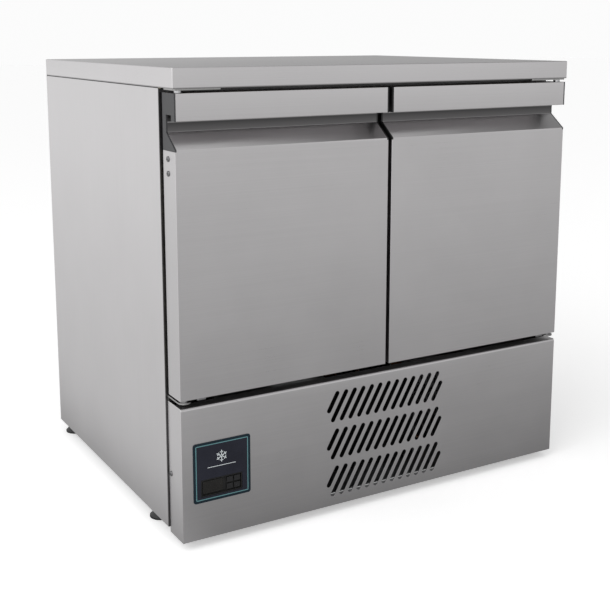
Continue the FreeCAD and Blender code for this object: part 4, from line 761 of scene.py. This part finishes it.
def show_slot_rims():
    """The rolled edge that the punch leaves round every ventilation slot."""
    low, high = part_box("front_panel")
    pitch, columns, rows = 19.8 * MM, 12, 3
    width, lean = 9.4 * MM, 34.3 * MM
    gap, top_drop, foot = 14.2 * MM, 21.8 * MM, 19.0 * MM
    rise = (high.z - top_drop - low.z - foot + gap) / rows - gap
    half_run = lean * (1 - width / rise) / 2
    half_rise = (rise - width) / 2
    rim = 0.25 * MM
    y = low.y + rim * 0.8
    paths = []
    for row in range(rows):
        row_z = high.z - top_drop - row * (rise + gap) - rise / 2
        places = [(column, 0.0, 1.0) for column in range(columns)]
        places += [(-1, 0.38, 0.62), (columns, -0.41, 0.59)]
        for column, shift, share in places:
            middle = ((column - (columns - 1) / 2) * pitch + shift * half_run,
                      row_z + shift * half_rise)
            paths.append((slot_outline(middle, share * half_run, share * half_rise,
                                       width / 2 + rim * 0.4, y), True))
    # The dark lug steel on the rims is painted shade that widens the dark of each slot.
    mesh = rods.grow("front_panel_slot_rims", path_mesh("slot outlines", paths), lug_steel,
                     Radius=rim, Facets=6)
    placed("front_panel_slot_rims", mesh, lug_steel, body_of_node["front_panel"])


def flat_bars(name, bars, y, proud):
    """Thin printed strokes on a face: each bar is (x, z, turn, length, width)."""
    shape = bmesh.new()
    for x, z, turn, length, width in bars:
        run = Vector((math.cos(turn), 0, math.sin(turn))) * length / 2
        rise = Vector((-math.sin(turn), 0, math.cos(turn))) * width / 2
        centre = Vector((x, y, z))
        back = [shape.verts.new(centre + a * run + b * rise)
                for a, b in ((-1, -1), (1, -1), (1, 1), (-1, 1))]
        front = [shape.verts.new(vert.co - Vector((0, proud, 0))) for vert in back]
        shape.faces.new(front)
        shape.faces.new(back[::-1])
        for index in range(4):
            after = (index + 1) % 4
            shape.faces.new((back[index], back[after], front[after], front[index]))
    bmesh.ops.recalc_face_normals(shape, faces=shape.faces)
    mesh = bpy.data.meshes.new(name)
    shape.to_mesh(mesh)
    shape.free()
    return mesh


def snowflake(x, z, radius):
    """Strokes of a plain six-armed snowflake."""
    bars = []
    stroke = radius * 0.13
    for arm in range(6):
        turn = math.pi / 2 + arm * math.pi / 3
        bars.append((x + math.cos(turn) * radius / 2, z + math.sin(turn) * radius / 2,
                     turn, radius, stroke))
        for lean in (-1, 1):
            slant = turn + lean * math.pi / 3
            root = radius * 0.58
            length = radius * 0.34
            bars.append((x + math.cos(turn) * root + math.cos(slant) * length / 2,
                         z + math.sin(turn) * root + math.sin(slant) * length / 2,
                         slant, length, stroke * 0.8))
    return bars


def show_controls():
    """Printed fascia with its window, the lens, and a generic cold mark."""
    low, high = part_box("control_fascia")
    case_low, case_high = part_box("controller_housing")
    body = body_of_node["control_fascia"]
    margin = 0.3 * MM
    print_depth = 0.05 * MM
    face = low.y + print_depth
    x_span, z_span = (low.x, high.x), (low.z, high.z)
    opening = rounded_loop((case_low.x - margin, case_high.x + margin),
                           (case_low.z - margin, case_high.z + margin), 0.8 * MM, 3)
    plate = flat_plate("fascia plate", rounded_loop(x_span, z_span, 5.0 * MM, 8),
                       face, high.y, opening)
    plate.materials.append(fascia_print)
    parts = [plate]
    for name, inset, width, finish in (("rim", 0.25, 4.1, fascia_rim),
                                       ("line", 4.7, 1.7, fascia_line)):
        ring = swept_frame(
            f"fascia {name}", (low.x + inset * MM, high.x - inset * MM),
            (low.z + inset * MM, high.z - inset * MM), (5.0 - inset * 0.55) * MM,
            [(0.0, face), (width * MM, face), (width * MM, low.y), (0.0, low.y)], 8)
        ring.materials.append(finish)
        parts.append(ring)
    centre_x = (low.x + high.x) / 2 - MM
    bars = snowflake(centre_x, high.z - 31 * MM, 11 * MM)
    bars.append((centre_x, high.z - 48.5 * MM, 0.0, 56 * MM, 0.9 * MM))
    mark = flat_bars("cold mark", bars, face, print_depth)
    mark.materials.append(fascia_mark)
    parts.append(mark)
    placed("control_fascia_piece", joined("control_fascia_piece", parts), None,
           body, ("control_fascia",))

    low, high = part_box("display_window")
    lens = flat_plate("lens", rounded_loop((low.x, high.x), (low.z, high.z), 1.6 * MM, 6),
                      low.y, high.y)
    lens = eased("display_window_piece", lens, 0.35, 3)
    placed("display_window_piece", lens, display_glass,
           body_of_node["display_window"], ("display_window",), None)


# ---------------------------------------------------------------- feet, shelves and coils

def show_foot(node):
    """Moulded levelling foot with a ribbed pad on a threaded stem."""
    low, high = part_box(node)
    centre = ((low.x + high.x) / 2, (low.y + high.y) / 2)
    top = high.z / MM
    profile = [(19.6, 0.0), (20.6, 0.3), (21.0, 1.0), (21.0, 4.0), (20.6, 4.7), (19.8, 5.2),
               (12.6, 16.6), (10.9, 19.4), (10.2, 21.4), (9.6, 22.0), (5.6, 22.0), (4.4, 22.3)]
    turns = int((top - 24.0) / 1.5)
    for index in range(turns):
        level = 22.5 + index * 1.5
        profile += [(4.3, level), (4.95, level + 0.7)]
    profile += [(4.3, top - 1.2), (3.6, top)]
    pad = turned(f"{node}_pad", centre, [(radius * MM, z * MM) for radius, z in profile])
    pad.materials.append(foot_plastic)
    grips = ribs.grow(
        f"{node}_ribs", spots("pad middle", [(*centre, 2.5 * MM)]), foot_plastic,
        Count=30, Ring_radius=20.9 * MM, Rib_size=(1.9 * MM, 2.0 * MM, 3.4 * MM), Lean=0.0)
    placed(f"{node}_piece", joined(f"{node}_piece", [pad, grips]), None,
           body_of_node[node], (node,))


def show_shelf(node):
    """Wire shelf: a bent frame, three cross bars and a row of fine wires."""
    low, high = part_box(node)
    frame_wire, bar_wire, fine_wire = 3.5 * MM, 3.15 * MM, 2.0 * MM
    level = low.z + frame_wire
    left, right = low.x + frame_wire, high.x - frame_wire
    front, back = low.y + frame_wire, high.y - frame_wire
    loop = [(x, y, level) for x, y in rounded_loop((left, right), (front, back), 12 * MM, 8)]
    bars = [([(left, y, level), (right, y, level)], False)
            for y in (front + (back - front) * share / 4 for share in (1, 2, 3))]
    count = int((right - left) / (24 * MM))
    fine_level = high.z - fine_wire
    wires = [([(x, front - MM, fine_level), (x, back + MM, fine_level)], False)
             for x in (left + index * (right - left) / count for index in range(1, count))]
    meshes = [
        rods.grow(f"{node}_{part}", path_mesh(part, paths), coated_wire, Radius=radius,
                  Facets=facets)
        for part, paths, radius, facets in (("frame", [(loop, True)], frame_wire, 20),
                                            ("bars", bars, bar_wire, 16),
                                            ("wires", wires, fine_wire, 12))]
    placed(f"{node}_piece", joined(f"{node}_piece", meshes), None,
           body_of_node[node], (node,))


def show_coil(node, pitch, tube_levels, tube_depth, fin_finish, tube_finish):
    """Finned coil: thin plates on straight tubes, with an end plate at each side."""
    low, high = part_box(node)
    fin, end_plate = 0.25 * MM, 1.2 * MM
    depth, height = high.y - low.y, high.z - low.z
    middle_y, middle_z = (low.y + high.y) / 2, (low.z + high.z) / 2
    span = high.x - low.x - 2 * end_plate
    count = int(span / pitch)
    fins = stacks.grow(
        f"{node}_fins", spots("first fin", [(low.x + end_plate + pitch / 2, middle_y, middle_z)]),
        fin_finish, Count=count, Step=(span / count, 0.0, 0.0),
        Plate_size=(fin, depth - 2 * MM, height - 1 * MM), Lean=(0.0, 0.0, 0.0))
    ends = stacks.grow(
        f"{node}_ends", spots("first end", [(low.x + end_plate / 2, middle_y, middle_z)]),
        zinc_sheet, Count=2, Step=(high.x - low.x - end_plate, 0.0, 0.0),
        Plate_size=(end_plate, depth, height), Lean=(0.0, 0.0, 0.0))
    lines = [([(low.x, tube_depth, z), (high.x, tube_depth, z)], False)
             for z in (low.z + level * MM for level in tube_levels)]
    tubes = rods.grow(f"{node}_tubes", path_mesh("tube lines", lines), tube_finish,
                      Radius=4 * MM, Facets=18)
    placed(f"{node}_piece", joined(f"{node}_piece", [fins, ends, tubes]), None,
           body_of_node[node], (node,))


def show_rear_blades():
    """Leaning blades behind the cooling slots at the back."""
    low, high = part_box("back_panel")
    starts = [(side * 190 * MM, high.y - 3.0 * MM, 66.6 * MM) for side in SIDES.values()]
    mesh = stacks.grow(
        "rear_cooling_blades", spots("lowest blades", starts), side_steel, Count=7,
        Step=(0.0, 0.0, 18 * MM), Plate_size=(119 * MM, 0.9 * MM, 5.6 * MM),
        Lean=(math.radians(38), 0.0, 0.0))
    placed("rear_cooling_blades", mesh, side_steel, body_of_node["back_panel"])


show_sheets()
keep_cores()
for side_name, side in SIDES.items():
    door = f"{side_name}_door"
    show_gasket(door)
    show_screws(f"{door}_screws", door, side, lambda low, high: (low.z + 5 * MM, high.z - 5 * MM))
    show_shelf(f"{side_name}_shelf")
show_screws("front_panel_screws", body_of_node["front_panel_screws"], 0,
            lambda low, high: ((low.z + high.z) / 2,))
show_seam_seal()
show_slot_rims()
show_controls()
for foot in ("front_left_foot", "rear_left_foot", "front_right_foot", "rear_right_foot"):
    show_foot(foot)
bend_low, bend_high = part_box("condenser_tube")
show_coil("condenser_core", 2.6 * MM, range(5, 170, 20), (bend_low.y + bend_high.y) / 2,
          coil_paint, coil_paint)
coil_low, coil_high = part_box("evaporator_core")
show_coil("evaporator_core", 4.2 * MM, range(20, 150, 24), (coil_low.y + coil_high.y) / 2,
          fin_aluminium, copper)
show_rear_blades()


# ---------------------------------------------------------------- floor, light and camera

def lay_floor():
    """A plain pale floor. To glossy rays it shows a painted reflection: greyer ahead and to the
    right of the cabinet, darkest close to it, and paler to its left.
    """
    mesh = bpy.data.meshes.new("floor")
    reach = 30.0
    corners = [(x * reach, y * reach, 0) for x, y in ((-1, -1), (1, -1), (1, 1), (-1, 1))]
    mesh.from_pydata(corners, [], [(0, 1, 2, 3)])
    material = bpy.data.materials.new("Pale floor")
    material.use_nodes = True
    nodes, links = material.node_tree.nodes, material.node_tree.links
    nodes.remove(nodes["Principled BSDF"])
    matt = nodes.new("ShaderNodeBsdfDiffuse")
    matt.inputs["Color"].default_value = (0.9, 0.9, 0.9, 1)
    lift = nodes.new("ShaderNodeEmission")
    lift.inputs["Strength"].default_value = 0.34
    pale = nodes.new("ShaderNodeAddShader")
    links.new(matt.outputs[0], pale.inputs[0])
    links.new(lift.outputs[0], pale.inputs[1])
    painted_reflection = nodes.new("ShaderNodeEmission")
    place = nodes.new("ShaderNodeTexCoord")
    parts = nodes.new("ShaderNodeSeparateXYZ")
    links.new(place.outputs["Object"], parts.inputs[0])

    def fade(output, low, high, at_low, at_high):
        ranger = nodes.new("ShaderNodeMapRange")
        for socket, value in (("From Min", low), ("From Max", high),
                              ("To Min", at_low), ("To Max", at_high)):
            ranger.inputs[socket].default_value = value
        links.new(output, ranger.inputs["Value"])
        return ranger.outputs[0]

    away = nodes.new("ShaderNodeMath")
    away.operation = "POWER"
    away.inputs[1].default_value = 0.5
    links.new(fade(parts.outputs["Y"], -0.35, -3.0, 0.0, 1.0), away.inputs[0])
    ahead = fade(away.outputs[0], 0.0, 1.0, 0.2, 0.66)
    beside = fade(parts.outputs["X"], -0.44, -2.6, 0.72, 1.02)
    blend = nodes.new("ShaderNodeMix")
    links.new(fade(parts.outputs["X"], -0.35, -0.6, 0.0, 1.0), blend.inputs["Factor"])
    links.new(ahead, blend.inputs["A"])
    links.new(beside, blend.inputs["B"])
    links.new(blend.outputs["Result"], painted_reflection.inputs["Strength"])
    # Glossy rays see the painted reflection instead of the pale floor.
    rays = nodes.new("ShaderNodeLightPath")
    mix = nodes.new("ShaderNodeMixShader")
    links.new(rays.outputs["Is Glossy Ray"], mix.inputs["Fac"])
    links.new(pale.outputs[0], mix.inputs[1])
    links.new(painted_reflection.outputs[0], mix.inputs[2])
    links.new(mix.outputs[0], nodes["Material Output"].inputs["Surface"])
    mesh.materials.append(material)
    floor = bpy.data.objects.new("floor", mesh)
    bpy.context.scene.collection.objects.link(floor)


def light_studio():
    """Soft light all round, stronger from the left, and three large soft lamps."""
    world = bpy.data.worlds.new("Studio")
    bpy.context.scene.world = world
    world.use_nodes = True
    nodes, links = world.node_tree.nodes, world.node_tree.links
    place = nodes.new("ShaderNodeTexCoord")
    level = nodes.new("ShaderNodeVectorMath")
    level.operation = "DOT_PRODUCT"
    level.inputs[1].default_value = (-0.5, -0.145, -0.35)
    links.new(place.outputs["Generated"], level.inputs[0])
    fall = nodes.new("ShaderNodeMath")
    fall.inputs[1].default_value = 0.925
    links.new(level.outputs["Value"], fall.inputs[0])
    around = nodes["Background"]
    links.new(fall.outputs[0], around.inputs["Strength"])
    around.inputs["Color"].default_value = (1, 1, 1, 1)
    seen = nodes.new("ShaderNodeBackground")
    seen.inputs["Color"].default_value = (0.97, 0.97, 0.97, 1)
    rays = nodes.new("ShaderNodeLightPath")
    mix = nodes.new("ShaderNodeMixShader")
    links.new(rays.outputs["Is Camera Ray"], mix.inputs["Fac"])
    links.new(around.outputs[0], mix.inputs[1])
    links.new(seen.outputs[0], mix.inputs[2])
    links.new(mix.outputs[0], nodes["World Output"].inputs["Surface"])
    for name, place, size, power in (
            ("key lamp", (-2.8, -1.6, 2.8), 2.6, 40.0),
            ("fill lamp", (2.6, -3.0, 1.8), 2.2, 3.0),
            ("top lamp", (0.3, -0.6, 3.4), 2.4, 4.0)):
        lamp = bpy.data.lights.new(name, "AREA")
        lamp.size = size
        lamp.energy = power
        holder = bpy.data.objects.new(name, lamp)
        holder.location = place
        aim = Vector((0.0, 0.0, 0.45)) - Vector(place)
        holder.rotation_euler = aim.to_track_quat("-Z", "Y").to_euler()
        bpy.context.scene.collection.objects.link(holder)


def set_camera():
    """The main camera, ahead and to the left of the cabinet."""
    camera = bpy.data.cameras.new("camera")
    camera.sensor_width = 36.0
    camera.lens = 62.293
    camera.shift_y = -0.136
    camera.clip_end = 100.0
    holder = bpy.data.objects.new("camera", camera)
    holder.location = (-1.13589, -1.97437, 0.91363)
    turn, rise = math.radians(-30.318), math.radians(10.072)
    ahead = Vector((-math.sin(turn) * math.cos(rise), math.cos(turn) * math.cos(rise),
                    -math.sin(rise)))
    holder.rotation_euler = ahead.to_track_quat("-Z", "Y").to_euler()
    bpy.context.scene.collection.objects.link(holder)
    bpy.context.scene.camera = holder


lay_floor()
light_studio()
set_camera()
bpy.context.scene.view_settings.view_transform = "Standard"
